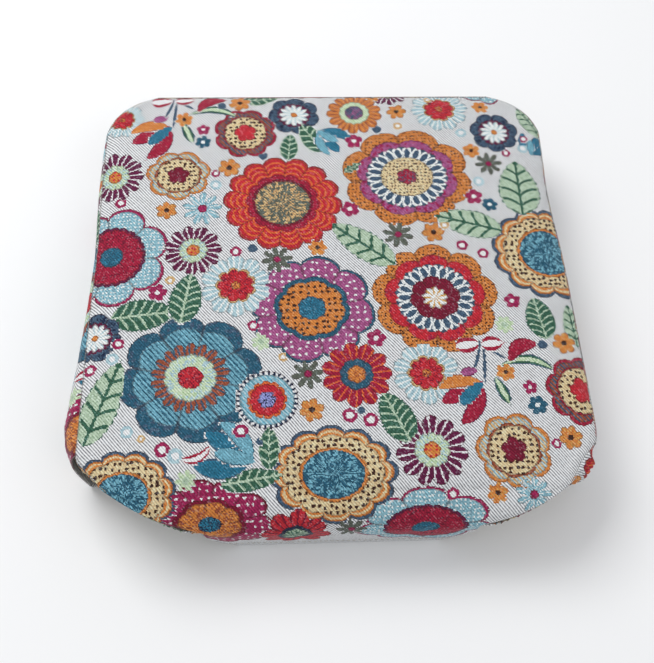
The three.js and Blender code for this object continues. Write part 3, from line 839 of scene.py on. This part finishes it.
def leaf_layer(shader, x, y, under):
    """Paints a leaf, petal, bow or stem over the colour so far. x runs from -1 to 1 along it."""
    ratio, veins, band = shader.parts(shader.attribute("shape0"))
    outline = shader.parts(shader.attribute("texture0"))[0]
    fill = shader.attribute("colour0")
    vein_colour = shader.attribute("spot0")
    core = shader.attribute("colour1")
    taper = (1 - x * x).most(0.0).power(LEAF_TAPER) * (1 - x * LEAF_LEAN)
    across = (y / ratio.most(0.001)) / taper.most(0.02)
    reach = across.absolute()
    teeth = (x * veins * 4 * pi).sine() * 0.05 * veins.over(0.5)
    inside = reach.under(1.0 + teeth)
    rib = y.absolute().under(0.035) * veins.over(0.5)
    comb = (x + y.absolute() * -1.0 + y * y * 0.9) * veins * 2.0 * pi
    side_veins = comb.sine().over(0.72) * veins.over(0.5) * reach.under(0.88)
    edge = reach.over(1 - outline) * outline.over(0.01)
    marked = (rib + side_veins + edge).least(1.0)
    body = shader.mix(reach.under(band), fill, core)
    return shader.mix(inside, under, shader.mix(marked, body, vein_colour)), inside


def tapestry_material():
    """Jacquard twill: the print evaluated thread by thread, with ribs and raised motifs."""
    shader = Shader("tapestry", roughness=0.88, specular=0.22)
    shader.sheen(0.12, 0.45)
    place = shader.attribute("cloth")
    true_u, true_v, _ = shader.parts(place)
    wander = shader.noise(place, 0.035, 1.0)
    rib = (true_u * TWILL_SLOPE[0] + true_v * TWILL_SLOPE[1] + wander * 3.0) / TWILL_SPACING
    # Each motif's edge steps from rib to rib, as woven threads do.
    u = true_u.snap(THREAD) + rib.floor().node("MODULO", 2.0) * (THREAD * 0.6)
    v = true_v.snap(THREAD)
    at_u, at_v, size = shader.parts(shader.attribute("place"))
    turn, kind, bend = shader.parts(shader.attribute("pose"))
    is_flower = kind.is_code(FLOWER)
    is_leaf = kind.is_code(LEAF)
    across = (u - at_u) / size.most(0.001)
    upward = (v - at_v) / size.most(0.001) / (1 - bend * is_flower)
    x = across * turn.cosine() + upward * turn.sine()
    y = upward * turn.cosine() - across * turn.sine()
    rho = (x * x + y * y).power(0.5)
    phi = y.node("ARCTAN2", x)

    wobble = shader.noise(place, 0.16, 1.0)
    rib_wave = (rib * 2 * pi).sine()
    ground_grain = shader.white_noise(shader.combine(rib.floor(), (true_u / 1.7).floor()))
    # The ground, with painted shade in the grooves between its ribs.
    ground = shader.mix(
        (0.5 - 0.5 * rib_wave).power(1.8) * PAINTED_RIB_SHADE,
        PALETTE["ground"],
        PALETTE["shade"],
    )
    ground = shader.mix(ground_grain * GRAIN, ground, PALETTE["white"])
    flower = ground
    raised = None
    for index in range(LAYERS):
        flower, inside = rosette_layer(shader, index, (rho, phi), (u, v, size, wobble), flower)
        raised = raised or inside
    leaf, leaf_raised = leaf_layer(shader, x, y - bend * (x * x - 0.5), ground)
    colour = shader.mix(is_flower, ground, flower)
    colour = shader.mix(is_leaf, colour, leaf)
    raised = raised * is_flower + leaf_raised * is_leaf
    reverse = shader.attribute("reverse", "Fac")
    colour = shader.mix(reverse * REVERSE_SHARE, colour, linear(REVERSE_COLOUR))

    # Thread-sized variation in every colour, then painted shade darkens it between the ribs.
    along_rib = true_u * TWILL_SLOPE[1] - true_v * TWILL_SLOPE[0]
    cells = shader.combine((along_rib / 1.3).floor(), (rib * 2.0).floor())
    threads = shader.white_noise(cells)
    grey = shader.combine(threads, threads, threads)
    varied = shader.mix(THREAD_CONTRAST, colour, grey, "OVERLAY")
    flecks = threads.over(FLECK_LIMIT) * FLECK
    varied = shader.mix(flecks, varied, PALETTE["pale_blue"])
    # Painted shade, deepest in the grooves between the ribs.
    painted_groove_shade = (0.5 - 0.5 * rib_wave).power(2.0)
    final = shader.mix(painted_groove_shade * PAINTED_GAP_SHADE, varied, linear(PAINTED_GAP_COLOUR), "MULTIPLY")
    fuzz = shader.noise(place, 1.1, 2.0)
    height = rib_wave * 0.5 + threads * 0.2 + fuzz * 0.25 + raised * 0.9
    return shader.finish(final, height, 0.6, 0.00035)


def woven_material(name, colour, spacing, contrast=0.15, roughness=0.9, depth=0.0002):
    """Plain woven cloth from two crossed sets of threads, in object space."""
    shader = Shader(name, roughness=roughness, specular=0.2)
    shader.sheen(0.2, 0.5)
    x, y, z = shader.parts(shader.object_place())
    warp = ((x + z * 0.7) * (2 * pi / spacing)).sine()
    weft = ((y + z * 0.7) * (2 * pi / spacing)).sine()
    weave = warp * weft
    slub = shader.noise(shader.object_place(), 260.0, 3.0)
    tone = (weave * 0.5 + 0.5) * contrast + slub * contrast
    dark = [c * 0.55 for c in linear(colour)]
    final = shader.mix(tone, linear(colour), dark)
    return shader.finish(final, weave * 0.6 + slub * 0.8, 0.5, depth)


def grained_material(name, colour, scale, roughness, metallic=0.0, contrast=0.2, depth=0.0001):
    """Foam, wadding, nylon or metal: one colour with fine uneven grain."""
    shader = Shader(name, roughness=roughness, metallic=metallic, specular=0.4)
    grain = shader.noise(shader.object_place(), scale, 4.0, 0.6)
    dark = [c * 0.6 for c in linear(colour)]
    final = shader.mix((grain - 0.4).most(0.0) * 2.5 * contrast, linear(colour), dark)
    return shader.finish(final, grain, 0.4, depth)


TAPESTRY = tapestry_material()
LINING = woven_material("lining cotton", (0.86, 0.83, 0.76), 0.0009)
TAPE = woven_material("zip tape", (0.83, 0.80, 0.73), 0.0006)
ELASTIC = woven_material("braided elastic", (0.93, 0.93, 0.91), 0.0007, 0.25)
SEWING = woven_material("sewing thread", (0.80, 0.79, 0.76), 0.0004, 0.3, 0.7)
FOAM = grained_material("foam", (0.93, 0.88, 0.70), 900.0, 0.95, depth=0.0004)
WADDING = grained_material("wadding", (0.94, 0.94, 0.93), 300.0, 1.0, depth=0.0006)
NYLON = grained_material("nylon coil", (0.80, 0.77, 0.70), 500.0, 0.45)
METAL = grained_material("nickel", (0.72, 0.72, 0.74), 700.0, 0.32, 1.0, 0.15, 0.00003)


# ---- Tapestry pieces ----


def hem_turn(out, start_z):
    """The cloth round a hem, as (outward, z) points, ending turned up on the inside."""
    angles = np.linspace(0, pi, 9)[1:]
    rise = np.linspace(0, HEM_TURN_UP, 4)[1:]
    outward = np.r_[out - HEM_RADIUS + HEM_RADIUS * np.cos(angles), [out - 2 * HEM_RADIUS] * 3]
    return np.stack([outward, start_z + np.r_[-HEM_RADIUS * np.sin(angles), rise]], 1)


def top_rows():
    """Rows of the top panel from back to front hem: y, z, half width and place on the print."""
    y = np.arange(BACK_Y, ROLL_START_Y, -CELL)
    z = np.full(len(y), COVER_Z - CLOTH / 2)
    width = half_width(y)
    turns = np.linspace(0, pi / 2, 13)
    roll_y = ROLL_START_Y - (ROLL_DEPTH - CLOTH / 2) * np.sin(turns)
    roll_z = COVER_Z - CLOTH / 2 - ROLL_HEIGHT * (1 - np.cos(turns))
    roll_width = half_width(ROLL_START_Y - ROLL_DEPTH * np.sin(turns))
    fall = np.linspace(0, 1, 19)[1:]
    fall_y = roll_y[-1] + 3 * fall
    fall_z = lerp(roll_z[-1], HEM_START_Z, fall)
    fall_width = FRONT_STRAIGHT_HALF - 25 * fall**2.5
    hem = hem_turn(-fall_y[-1], HEM_START_Z)
    y = np.r_[y, roll_y, fall_y, -hem[:, 0]]
    z = np.r_[z, roll_z, fall_z, hem[:, 1]]
    width = np.r_[width, roll_width, fall_width, np.full(len(hem), fall_width[-1])]
    steps = np.hypot(np.diff(y), np.diff(z))
    print_v = BACK_Y - np.r_[0, np.cumsum(steps)]
    return y, z, width, print_v


def spread(values, places, count):
    """Values known at some rows, spread by straight lines over all of count rows."""
    flat = values.reshape(len(places), -1)
    columns = [np.interp(np.arange(count), places, column) for column in flat.T]
    return np.stack(columns, 1).reshape(count, *values.shape[1:])


def blurred(values, times):
    """Values softened along both of a grid's directions."""
    for _ in range(times):
        for axis in (0, 1):
            before = np.roll(values, 1, axis)
            after = np.roll(values, -1, axis)
            ends = [slice(None)] * values.ndim
            for at, kept in ((before, 0), (after, -1)):
                ends[axis] = kept
                at[tuple(ends)] = values[tuple(ends)]
            values = (before + 2 * values + after) / 4
    return values


SETTLING = dict(
    vertex_group_mass="pins",
    quality=6,
    mass=0.25,
    tension_stiffness=12.0,
    compression_stiffness=12.0,
    shear_stiffness=4.0,
    bending_stiffness=0.15,
    shrink_min=-0.012,
    use_pressure=True,
    uniform_pressure_force=0.6,
)


def settled_offsets(grid, steps=24, cap=3.0):
    """How each point of the cover moves as cut cloth, a little too big for its pad and held
    along its seams, settles in a cloth simulation. Nothing moves further than the cap."""
    rows = np.arange(0, grid.shape[0] - 12, 4)
    columns = np.unique(np.r_[np.arange(0, grid.shape[1], 4), grid.shape[1] - 1])
    coarse = grid[np.ix_(rows, columns)]
    count = coarse.shape[:2]
    corners = np.arange(count[0] * count[1]).reshape(count)
    quads = [corners[:-1, :-1], corners[1:, :-1], corners[1:, 1:], corners[:-1, 1:]]
    piece = make_object("settling", coarse.reshape(-1, 3), np.stack(quads, 2).reshape(-1, 4))
    held = np.unique(np.r_[corners[0], corners[-1], corners[:, 0], corners[:, -1]])
    pins = piece.vertex_groups.new(name="pins")
    pins.add([int(index) for index in held], 1.0, "REPLACE")
    cloth = piece.modifiers.new("cloth", "CLOTH")
    for name, value in SETTLING.items():
        setattr(cloth.settings, name, value)
    cloth.settings.effector_weights.gravity = 0.0
    cloth.collision_settings.use_collision = False
    cloth.point_cache.frame_start = 1
    cloth.point_cache.frame_end = steps
    for frame_number in range(1, steps + 1):
        bpy.context.scene.frame_set(frame_number)
    settled = piece.evaluated_get(bpy.context.evaluated_depsgraph_get()).to_mesh()
    moved = np.zeros(len(settled.vertices) * 3)
    settled.vertices.foreach_get("co", moved)
    offsets = moved.reshape(*count, 3) / MM - coarse
    bpy.data.objects.remove(piece)
    bpy.context.scene.frame_set(1)
    size = np.linalg.norm(offsets, axis=2, keepdims=True)
    print("cloth settles by up to", round(float(size.max()), 2), "mm before its cap")
    offsets = offsets * np.minimum(1, cap / np.maximum(size, 1e-9))
    across = spread(offsets.swapaxes(0, 1), columns, grid.shape[1]).swapaxes(0, 1)
    full = blurred(spread(across, rows, grid.shape[0]), 5)
    row = np.arange(grid.shape[0])[:, None, None]
    column = np.arange(grid.shape[1])[None, :, None]
    inside = np.minimum(np.minimum(row, rows[-1] - row), np.minimum(column, columns[-1] - column))
    return full * smooth(inside / 4.0)


def build_top_panel():
    y, z, width, print_v = top_rows()
    share = np.linspace(-1, 1, int(2 * FRONT_HALF_WIDTH / CELL) + 1)
    y, z, width = y[:, None], z[:, None], width[:, None]
    pull = np.where(share > 0, seam_pull(y, 1), -seam_pull(y, -1))
    height = z + crown(y, share) * (y > ROLL_START_Y - 1)
    grid = as_grid(width * share - pull * np.abs(share) ** 3, y, height)
    grid += settled_offsets(grid)
    # The edge dips into its seam, with small puckers from the stitches.
    to_side = width * (1 - np.abs(share))
    to_back = BACK_Y - y
    near = np.minimum(to_side, to_back)
    on_top = smooth((y - ROLL_START_Y + 4) / 10)
    dip = SEAM_DIP * np.exp(-((near / 3.2) ** 1.5)) * on_top
    run = np.where(to_side < to_back, y, grid[..., 0])
    pucker = waves(run, 3, (9.0, 13.0, 21.0), 0.55) * np.exp(-near / 14) * on_top
    grid[..., 2] += pucker - dip
    place = as_grid(grid[..., 0], print_v[:, None])
    piece = cloth_piece("tapestry_top", grid, place, (0, -0.4, 1))
    cut_area = float(np.sum(2 * width[:-1, 0] * -np.diff(print_v))) * MM * MM
    return piece, grid, cut_area, float(print_v[0] - print_v[-1])


HEM_WAVES = ((23.0, 31.0, 47.0, 83.0), 2.6)  # their lengths and height
# The side skirts' bulge at places along Y: the left one stands out before the front corner.
BULGE_Y = (-147.0, -132.0, -115.0, -95.0, -60.0, -20.0, 30.0, 90.0, 140.0, 153.0)
BULGES = {
    -1: (6.0, 12.5, 14.5, 13.0, 9.0, 6.0, 4.0, 5.5, 4.5, 2.5),
    1: (1.5, 3.5, 4.5, 4.5, 4.5, 4.5, 4.5, 4.5, 3.5, 1.5),
}
WAVE_SEEDS = {-1: 10, 1: 12, 0: 17}
# Where on the printed cloth each skirt was cut.
SKIRT_PRINT = {-1: (-109, -220), 1: (90, -120), 0: (-150, 96)}


def build_skirt(name, side):
    """A skirt from its seam, over its bulge, down and round its hem. The back one's side is 0."""
    if side:
        start = (side * FRONT_HALF_WIDTH, SIDE_FRONT_Y + SEAM_GAP)
        end = (side * BACK_HALF_WIDTH, SIDE_BACK_Y - SEAM_GAP)
    else:
        start, end = (-BACK_STRAIGHT_HALF, BACK_Y), (BACK_STRAIGHT_HALF, BACK_Y)
    start, end = np.array(start), np.array(end)
    length = np.hypot(*(end - start))
    along = np.linspace(0, 1, int(length / CELL) + 1)
    run = along * length
    if side:
        bulge = np.interp(start[1] + run, BULGE_Y, BULGES[side])
        shift = -seam_pull(start[1] + run, side)
    else:
        bulge = 6.5 * lerp(0.3, 1.0, smooth(run / 26.0) * smooth((length - run) / 26.0))
        shift = 0
    ends = smooth(run / 26.0) * smooth((length - run) / 22.0)
    gather = waves(run, WAVE_SEEDS[side], *HEM_WAVES) * ends
    share = np.linspace(0, 1, 27)[:, None]
    hem = hem_turn(-CLOTH / 2, HEM_START_Z)
    fall = share ** (1.1 if side > 0 else 0.7)
    out = bulge * np.sin(pi * fall) - CLOTH / 2 + shift + gather * smooth(share)
    out = np.concatenate([out, hem[:, :1] + gather + shift])
    height = lerp(COVER_Z - CLOTH - SEAM_GAP, HEM_START_Z, share)
    outward = np.array((side, 0 if side else 1))
    foot = start + (end - start) * along[:, None] + outward * out[..., None]
    grid = as_grid(foot[..., 0], foot[..., 1], np.concatenate([height, hem[:, 1:]]))
    depth = run_along(grid[:, (len(along) - 1) // 2])[:, None]
    print_x, print_y = SKIRT_PRINT[side]
    if side:
        place = as_grid(print_x + side * depth, run + print_y)
    else:
        place = as_grid(run + print_x, print_y - depth)
    return cloth_piece(f"tapestry_skirt_{name}", grid, place, (*outward, 0)), grid


RUCHE_PITCH = 4.3


def build_gusset(name, cut, ends, side, print_shift, fold_size, ruche):
    """The band that closes the pad's edge along a corner cut, between two shares of the cut.
    Elastic in it draws the front ones into small ribs, and the right one stands out in a soft
    fold near its corner."""
    foot = bezier(cut, np.linspace(*ends, 109 if ruche else 27))
    tangent = np.gradient(foot, axis=0)
    tangent /= np.linalg.norm(tangent, axis=1, keepdims=True)
    inward = np.stack([-tangent[:, 1], tangent[:, 0]], 1)
    under = cover_edge_height(foot[:, 1] - CLOTH - 0.6) - 0.6
    high = np.minimum(under, cover_edge_height(foot[:, 1]) - CLOTH - SEAM_GAP)
    run = run_along(foot)
    length = run[-1]
    fade = smooth(run / 10.0) * smooth((length - run) / 6.0)
    fold = fold_size * smooth((run / length - 0.60) / 0.2) * smooth((length - run) / 8.0)
    uneven = run + waves(run, 6, (19.0, 31.0), 1.4)
    ribs = ruche * np.sin(2 * pi * uneven / RUCHE_PITCH) * fade
    share = np.linspace(0, 1, 11)[:, None]
    swell = np.sin(pi * share).clip(0)
    puff = (fold + 1.2 + waves(run, 5, (11.0, 17.0), 0.4)) * swell + ribs * swell**0.5
    inset = SEAM_GAP + CLOTH / 2 - puff + tuck(foot[:, 1]) * (1 - share)
    place = foot + inward * inset[..., None]
    x = side * (place[..., 0] - seam_pull(place[..., 1], side))
    grid = as_grid(x, place[..., 1], lerp(GUSSET_Z, high, share))
    print_place = as_grid(run + print_shift[0], grid[..., 2] + print_shift[1])
    middle = foot.mean(0)
    band = cloth_piece(name, grid, print_place, (side * middle[0], middle[1], 0))
    return band, float(length), float(np.mean(high) - GUSSET_Z)


# ---- Inside and underside ----


TUCK_SHARE = 0.85  # how much of the front gussets' lean the layers under the cover follow


def panel_grid(inset, from_y, to_y, cell=6.0):
    """A flat grid inside the outline between two Y values, as (x, y) points."""
    rows = max(int((to_y - from_y) / cell), 4)
    y = np.linspace(from_y, to_y, rows + 1)
    inset = inset + TUCK_SHARE * np.minimum(tuck(y), tuck(y - 6.0))
    ahead = half_width(np.clip(y - inset, FRONT_Y, BACK_Y))
    behind = half_width(np.clip(y + inset, FRONT_Y, BACK_Y))
    width = np.minimum(np.minimum(ahead, behind), half_width(y) - inset)
    share = np.linspace(-1, 1, int(2 * width.max() / cell) + 1)
    return as_grid(width[:, None] * share, y[:, None]), share


def slab(name, grid, low, high, material):
    """A closed solid between two heights over a flat grid."""
    points = [as_grid(grid[..., 0], grid[..., 1], z).reshape(-1, 3) for z in (high, low)]
    faces = np.concatenate(shell_faces(*grid.shape[:2]))
    return make_object(name, np.concatenate(points), faces, material)


def edge_fall(grid, share, reach):
    """From 0 on the outline to 1 at reach millimetres inside it."""
    to_side = np.abs(grid[..., 0]).max(1)[:, None] * (1 - np.abs(share))
    to_end = np.minimum(grid[..., 1] - grid[..., 1].min(), grid[..., 1].max() - grid[..., 1])
    near = np.clip(np.minimum(to_side, to_end) / reach, 0, 1)
    return np.sqrt(1 - (1 - near) ** 2)


LINING_THICKNESS = 1.0
LINING_SAG = 1.2


def build_lining(name, from_y, to_y):
    grid, share = panel_grid(CLOTH + 0.6, from_y, to_y)
    ripple = waves(grid[..., 0] + 0.4 * grid[..., 1], 21, (37.0, 61.0, 95.0), 0.35)
    low = BASE_Z - (LINING_SAG + ripple) * edge_fall(grid, share, 30)
    return slab(name, grid, low, low + LINING_THICKNESS, LINING), grid


def build_foam():
    low, high = box_of("foam_core")
    grid, share = panel_grid(8.0, low.y, high.y)
    half = (high.z - low.z) / 2 * edge_fall(grid, share, 6.0)
    middle = (low.z + high.z) / 2
    return slab("foam_sheet", grid, middle - half, middle + half, FOAM)


def build_wadding():
    low, high = box_of("wadding_sheet")
    grid, share = panel_grid(9.0, low.y, high.y)
    under = COVER_Z - CLOTH - 0.6 + crown(grid[..., 1], share)
    top_z = lerp(low.z + 0.5, under, edge_fall(grid, share, 8.0)) - 0.6
    return slab("wadding_layer", grid, low.z, top_z, WADDING)


# ---- Stitches, elastic and zip ----


def add_rings(points, faces, rings):
    """Adds a closed tube through rings of points to a mesh's lists."""
    count, sides = rings.shape[:2]
    index = len(points) + np.arange(count * sides).reshape(count, sides)
    after = np.roll(index, -1, axis=1)
    quads = np.stack([index[:-1], after[:-1], after[1:], index[1:]], 2).reshape(-1, 4)
    points.extend(rings.reshape(-1, 3))
    faces.extend([*quads, index[0][::-1], index[-1]])


def ring_angles(sides):
    """The cosine and sine of each corner of a ring, shaped to multiply rows of directions."""
    angles = np.linspace(0, 2 * pi, sides, endpoint=False)
    return np.cos(angles)[None, :, None], np.sin(angles)[None, :, None]


def headings(path):
    """The direction that a path takes at each of its points."""
    ahead = np.gradient(path, axis=0)
    return ahead / np.linalg.norm(ahead, axis=1, keepdims=True)


# A stitch from end to end: how far along, how far out of the cloth, and its girth.
STITCH_SHARES = np.array([0.0, 0.2, 0.5, 0.8, 1.0])
STITCH_RISES = np.array([-0.30, 0.02, 0.14, 0.02, -0.30])
STITCH_GIRTHS = np.array([0.6, 0.95, 1.0, 0.95, 0.6])


def dashes(name, path, outward, pitch=4.4, length=3.2, radius=0.34):
    """A run of stitches on a surface: short threads that dive into the cloth at both ends."""
    out = np.array(outward, float)
    run = run_along(path)
    girth = (STITCH_GIRTHS * radius)[:, None, None]
    cosine, sine = ring_angles(5)
    points, faces = [], []
    for start in np.arange(pitch * 0.5, run[-1] - length, pitch):
        at = start + STITCH_SHARES * length
        middle = np.stack([np.interp(at, run, path[:, axis]) for axis in range(3)], 1)
        side = np.cross(headings(middle), out)
        middle = middle + out * STITCH_RISES[:, None]
        rings = middle[:, None] + girth * (cosine * side[:, None] + sine * out)
        add_rings(points, faces, rings)
    return make_object(name, points, faces, SEWING)


def build_elastic(name, node, hem_line, outward, axis):
    """The round elastic inside a hem, which waves in and out with the gathers."""
    low, high = box_of(node)
    line = hem_line - np.asarray(outward, float) * HEM_RADIUS
    path = line[(line[:, axis] > low[axis]) & (line[:, axis] < high[axis])]
    ahead = headings(path)
    side = np.cross(ahead, (0.0, 0.0, 1.0))
    side /= np.maximum(np.linalg.norm(side, axis=1, keepdims=True), 1e-9)
    rise = np.cross(side, ahead)
    cosine, sine = ring_angles(10)
    points, faces = [], []
    rings = ELASTIC_RADIUS * (cosine * side[:, None] + sine * rise[:, None])
    add_rings(points, faces, path[:, None] + rings)
    return make_object(name, points, faces, ELASTIC)


def build_tape(name, node, stop):
    """One of the zip's woven tapes. Its ends run on into the pad's side seams, and past the
    stops its inner edge comes in to meet the other tape's."""
    low, high = box_of(node)
    stop_low, stop_high = box_of(stop)
    middle = (stop_low.y + stop_high.y) / 2
    x = np.linspace(low.x - TAPE_END, high.x + TAPE_END, 141)
    y = np.linspace(low.y, high.y, 7)
    grid = np.dstack(np.meshgrid(x, y))
    meets = smooth((np.abs(x) - np.abs(stop_low.x)) / 3.0)
    inner, outer = (high.y, low.y) if high.y < middle else (low.y, high.y)
    nearness = (y - outer) / (inner - outer)
    closing = middle - inner - 0.1 * np.sign(middle - inner)
    grid[..., 1] += meets * nearness[:, None] ** 2 * closing
    wave = 0.12 * np.sin(grid[..., 0] / 11.0) + 0.06 * np.sin(grid[..., 0] / 4.7 + 1)
    return slab(name, grid, low.z + 0.05 + wave * 0.2, high.z - 0.05 + wave * 0.2, TAPE)


# A turn of the coil across its row: how far across, and its girth.
TURN_SHARES = np.array([0.0, 0.15, 0.5, 0.85, 1.0])
TURN_GIRTHS = np.array([0.55, 0.9, 1.0, 0.9, 0.55])
COIL_PITCH = 1.3
COIL_HALF_WIDTH = 0.46


def build_teeth(name, node, side):
    """The nylon coil on one side of the zip: each turn shows as a rounded bar."""
    low, high = box_of(node)
    radius = (high.z - low.z) / 2
    cosine, sine = ring_angles(6)
    section = as_grid(-COIL_HALF_WIDTH * cosine[..., 0], 0.0, radius * sine[..., 0])
    rings = section * TURN_GIRTHS[:, None, None]
    rings[..., 1] = lerp(low.y, high.y, TURN_SHARES)[:, None]
    rings[..., 2] += (low.z + high.z) / 2
    first = low.x + radius * 0.5 + (0.0 if side > 0 else COIL_PITCH / 2)
    points, faces = [], []
    for x in np.arange(first, high.x - radius * 0.5, COIL_PITCH):
        add_rings(points, faces, rings + (x, 0.0, 0.0))
    return make_object(name, points, faces, NYLON)


def bevelled_copy(name, node, width):
    """A small hard part after its CAD node, with the edges that casting leaves rounded."""
    shape = bmesh.new()
    shape.from_mesh(bpy.data.objects[node].data)
    bmesh.ops.remove_doubles(shape, verts=shape.verts, dist=0.00001)
    parts = dict(verts=shape.verts, edges=shape.edges)
    bmesh.ops.dissolve_limit(shape, angle_limit=radians(2), **parts)
    sharp = [edge for edge in shape.edges if edge.is_manifold and edge.calc_face_angle() > 0.6]
    rounding = dict(segments=2, profile=0.5, affect="EDGES", clamp_overlap=True)
    bmesh.ops.bevel(shape, geom=sharp, offset=width * MM, **rounding)
    bmesh.ops.triangulate(shape, faces=shape.faces)
    mesh = bpy.data.meshes.new(name)
    shape.to_mesh(mesh)
    shape.free()
    return put_in_scene(name, mesh, METAL, None)


# ---- Build ----


def keep(piece, body, slot, *nodes):
    """Ties a finished piece to its body and hides the CAD nodes it stands for. Its slot is not
    used.
    """
    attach(piece, body)
    if nodes:
        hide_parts(*nodes)
    return piece


def add_hem(name, grid, outward, axis):
    """Adds the stitches and the elastic of the hem at the end of a grid's rows."""
    hem_row = int(np.argmax(grid[:, 0, 2] < HEM_START_Z + 0.01))
    stitch_row = int(np.argmin(np.abs(grid[:hem_row, 0, 2] - STITCH_Z)))
    surface = grid[stitch_row] + np.array(outward) * (CLOTH / 2 + 0.1)
    thread = dashes(f"stitches_{name}", surface, outward)
    node = f"hem_elastic_{name}"
    elastic = build_elastic(f"elastic_{name}", node, grid[hem_row], outward, axis)
    keep(thread, "root", "tapestry")
    keep(elastic, "root", "elastic", node)
    return [thread, elastic]


wadding = keep(build_wadding(), "root", "wadding", "wadding_sheet")
foam = keep(build_foam(), "root", "foam", "foam_core")

top, top_grid, top_area, top_length = build_top_panel()
keep(top, "root", "tapestry", "top_panel")
add_hem("front", top_grid, (0, -1, 0), 0)


def finish_skirt(name, grid, outward, axis):
    """Adds the stitches and the elastic of a skirt's hem."""
    add_hem(name, grid, outward, axis)


for side_name, side_sign in (("left", -1), ("right", 1), ("back", 0)):
    skirt, skirt_points = build_skirt(side_name, side_sign)
    if side_sign:
        keep(skirt, "root", "tapestry", f"side_skirt_{side_name}")
        finish_skirt(side_name, skirt_points, (side_sign, 0, 0), 1)
    else:
        keep(skirt, "root", "tapestry", "back_skirt")
        finish_skirt("back", skirt_points, (0, 1, 0), 0)

# End, side, cut, where the band starts on it, place on the print, fold and ribs.
GUSSETS = (
    ("front", "left", FRONT_CUT, 0.02, (90, -4), 0.0, 0.9),
    ("front", "right", FRONT_CUT, 0.02, (-160, 46), 9.0, 1.1),
    ("back", "left", BACK_CUT, 0.01, (40, 20), 0.0, 0.0),
    ("back", "right", BACK_CUT, 0.01, (60, -80), 0.0, 0.0),
)
for end, side_name, cut, begin, shift, fold, ruche in GUSSETS:
    side_sign = -1 if side_name == "left" else 1
    band_name = f"tapestry_gusset_{end}_{side_name}"
    band, band_length, band_height = build_gusset(
        band_name, cut, (begin, 0.99), side_sign, shift, fold, ruche
    )
    keep(band, "root", "tapestry", f"{end}_gusset_{side_name}")

ZIP_SEAM = 2.5  # from a lining panel's edge to the stitches that hold the zip

for part in ("front", "rear"):
    node = f"base_panel_{part}"
    low, high = box_of(node)
    lining, lining_grid = build_lining(f"lining_{part}", low.y, high.y)
    keep(lining, "root", "lining", node)
    side_sign = -1 if part == "front" else 1
    tape = build_tape(f"zip_tape_cloth_{part}", f"zip_tape_{part}", "zip_stop_left")
    keep(tape, "root", "zip_tape")
    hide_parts(f"zip_tape_{part}")
    tape_low, tape_high = box_of(f"zip_tape_{part}")
    teeth = build_teeth(f"zip_coil_{part}", f"zip_teeth_{part}", side_sign)
    keep(teeth, "root", "zip_nylon", f"zip_teeth_{part}")
    edge_y = high.y if part == "front" else low.y
    seam_x = np.linspace(tape_low.x, tape_high.x, 120)
    seam = as_grid(seam_x, edge_y + side_sign * ZIP_SEAM, BASE_Z - 0.25)
    thread = dashes(f"stitches_zip_{part}", seam, (0, 0, -1), pitch=3.6, length=2.7, radius=0.28)
    keep(thread, "root", "lining")

for stop in ("zip_stop_left", "zip_stop_right"):
    piece = bevelled_copy(f"{stop}_crimped", stop, 0.25)
    keep(piece, "root", "zip_metal", stop)
body = bevelled_copy("slider_body", "zip_slider", 0.3)
keep(body, "zip_slider", "zip_metal", "zip_slider")
pull = bevelled_copy("slider_pull", "zip_pull_tab", 0.22)
keep(pull, "zip_pull_tab", "zip_metal", "zip_pull_tab")


# ---- Camera, floor and light ----


LENS = 56.6
CAMERA_PLACE = (-0.053, -0.4295, 0.8147)
CAMERA_TURNS = (radians(62.5), radians(6.9), radians(-5.2))  # down, to the right, and roll


def add_camera():
    """The camera, where a person stands at the front of the chair."""
    data = bpy.data.cameras.new("camera")
    data.sensor_width = 36.0
    data.lens = LENS
    camera = link_object("camera", data)
    pitch, yaw, roll = CAMERA_TURNS
    look = Vector((sin(yaw) * cos(pitch), cos(yaw) * cos(pitch), -sin(pitch)))
    right = Vector((cos(yaw), -sin(yaw), 0))
    down = look.cross(right)
    turned_right = right * cos(roll) + down * sin(roll)
    turned_down = down * cos(roll) - right * sin(roll)
    rotation = Matrix((turned_right, -turned_down, -look)).transposed()
    camera.matrix_world = Matrix.Translation(CAMERA_PLACE) @ rotation.to_4x4()
    bpy.context.scene.camera = camera
    bpy.context.scene.view_settings.view_transform = "Standard"


def add_area_light(name, place, target, size, power):
    data = bpy.data.lights.new(name, "AREA")
    data.shape = "SQUARE"
    data.size = size
    data.energy = power
    light = link_object(name, data)
    light.location = place
    light.rotation_euler = (Vector(target) - Vector(place)).to_track_quat("-Z", "Y").to_euler()


FLOOR = 4000.0  # half its width


def add_stage():
    shader = Shader("pale floor", roughness=0.85, specular=0.2)
    shader.fill_all(shader.bsdf, {"Base Color": (0.86, 0.86, 0.86)})
    corners = [(-FLOOR, -FLOOR, 0), (FLOOR, -FLOOR, 0), (FLOOR, FLOOR, 0), (-FLOOR, FLOOR, 0)]
    floor = make_object("floor", corners, np.array([(0, 1, 2, 3)]), shader.material, False)
    world = bpy.data.worlds.new("studio")
    bpy.context.scene.world = world
    world.use_nodes = True
    background = world.node_tree.nodes["Background"]
    background.inputs["Color"].default_value = (0.95, 0.97, 1.0, 1)
    background.inputs["Strength"].default_value = 0.62
    add_area_light("key", (-0.85, 0.8, 1.65), (0, 0.05, 0), 1.1, 24)
    add_area_light("fill", (1.2, -0.9, 1.4), (0, 0, 0), 1.6, 6)


add_camera()
add_stage()
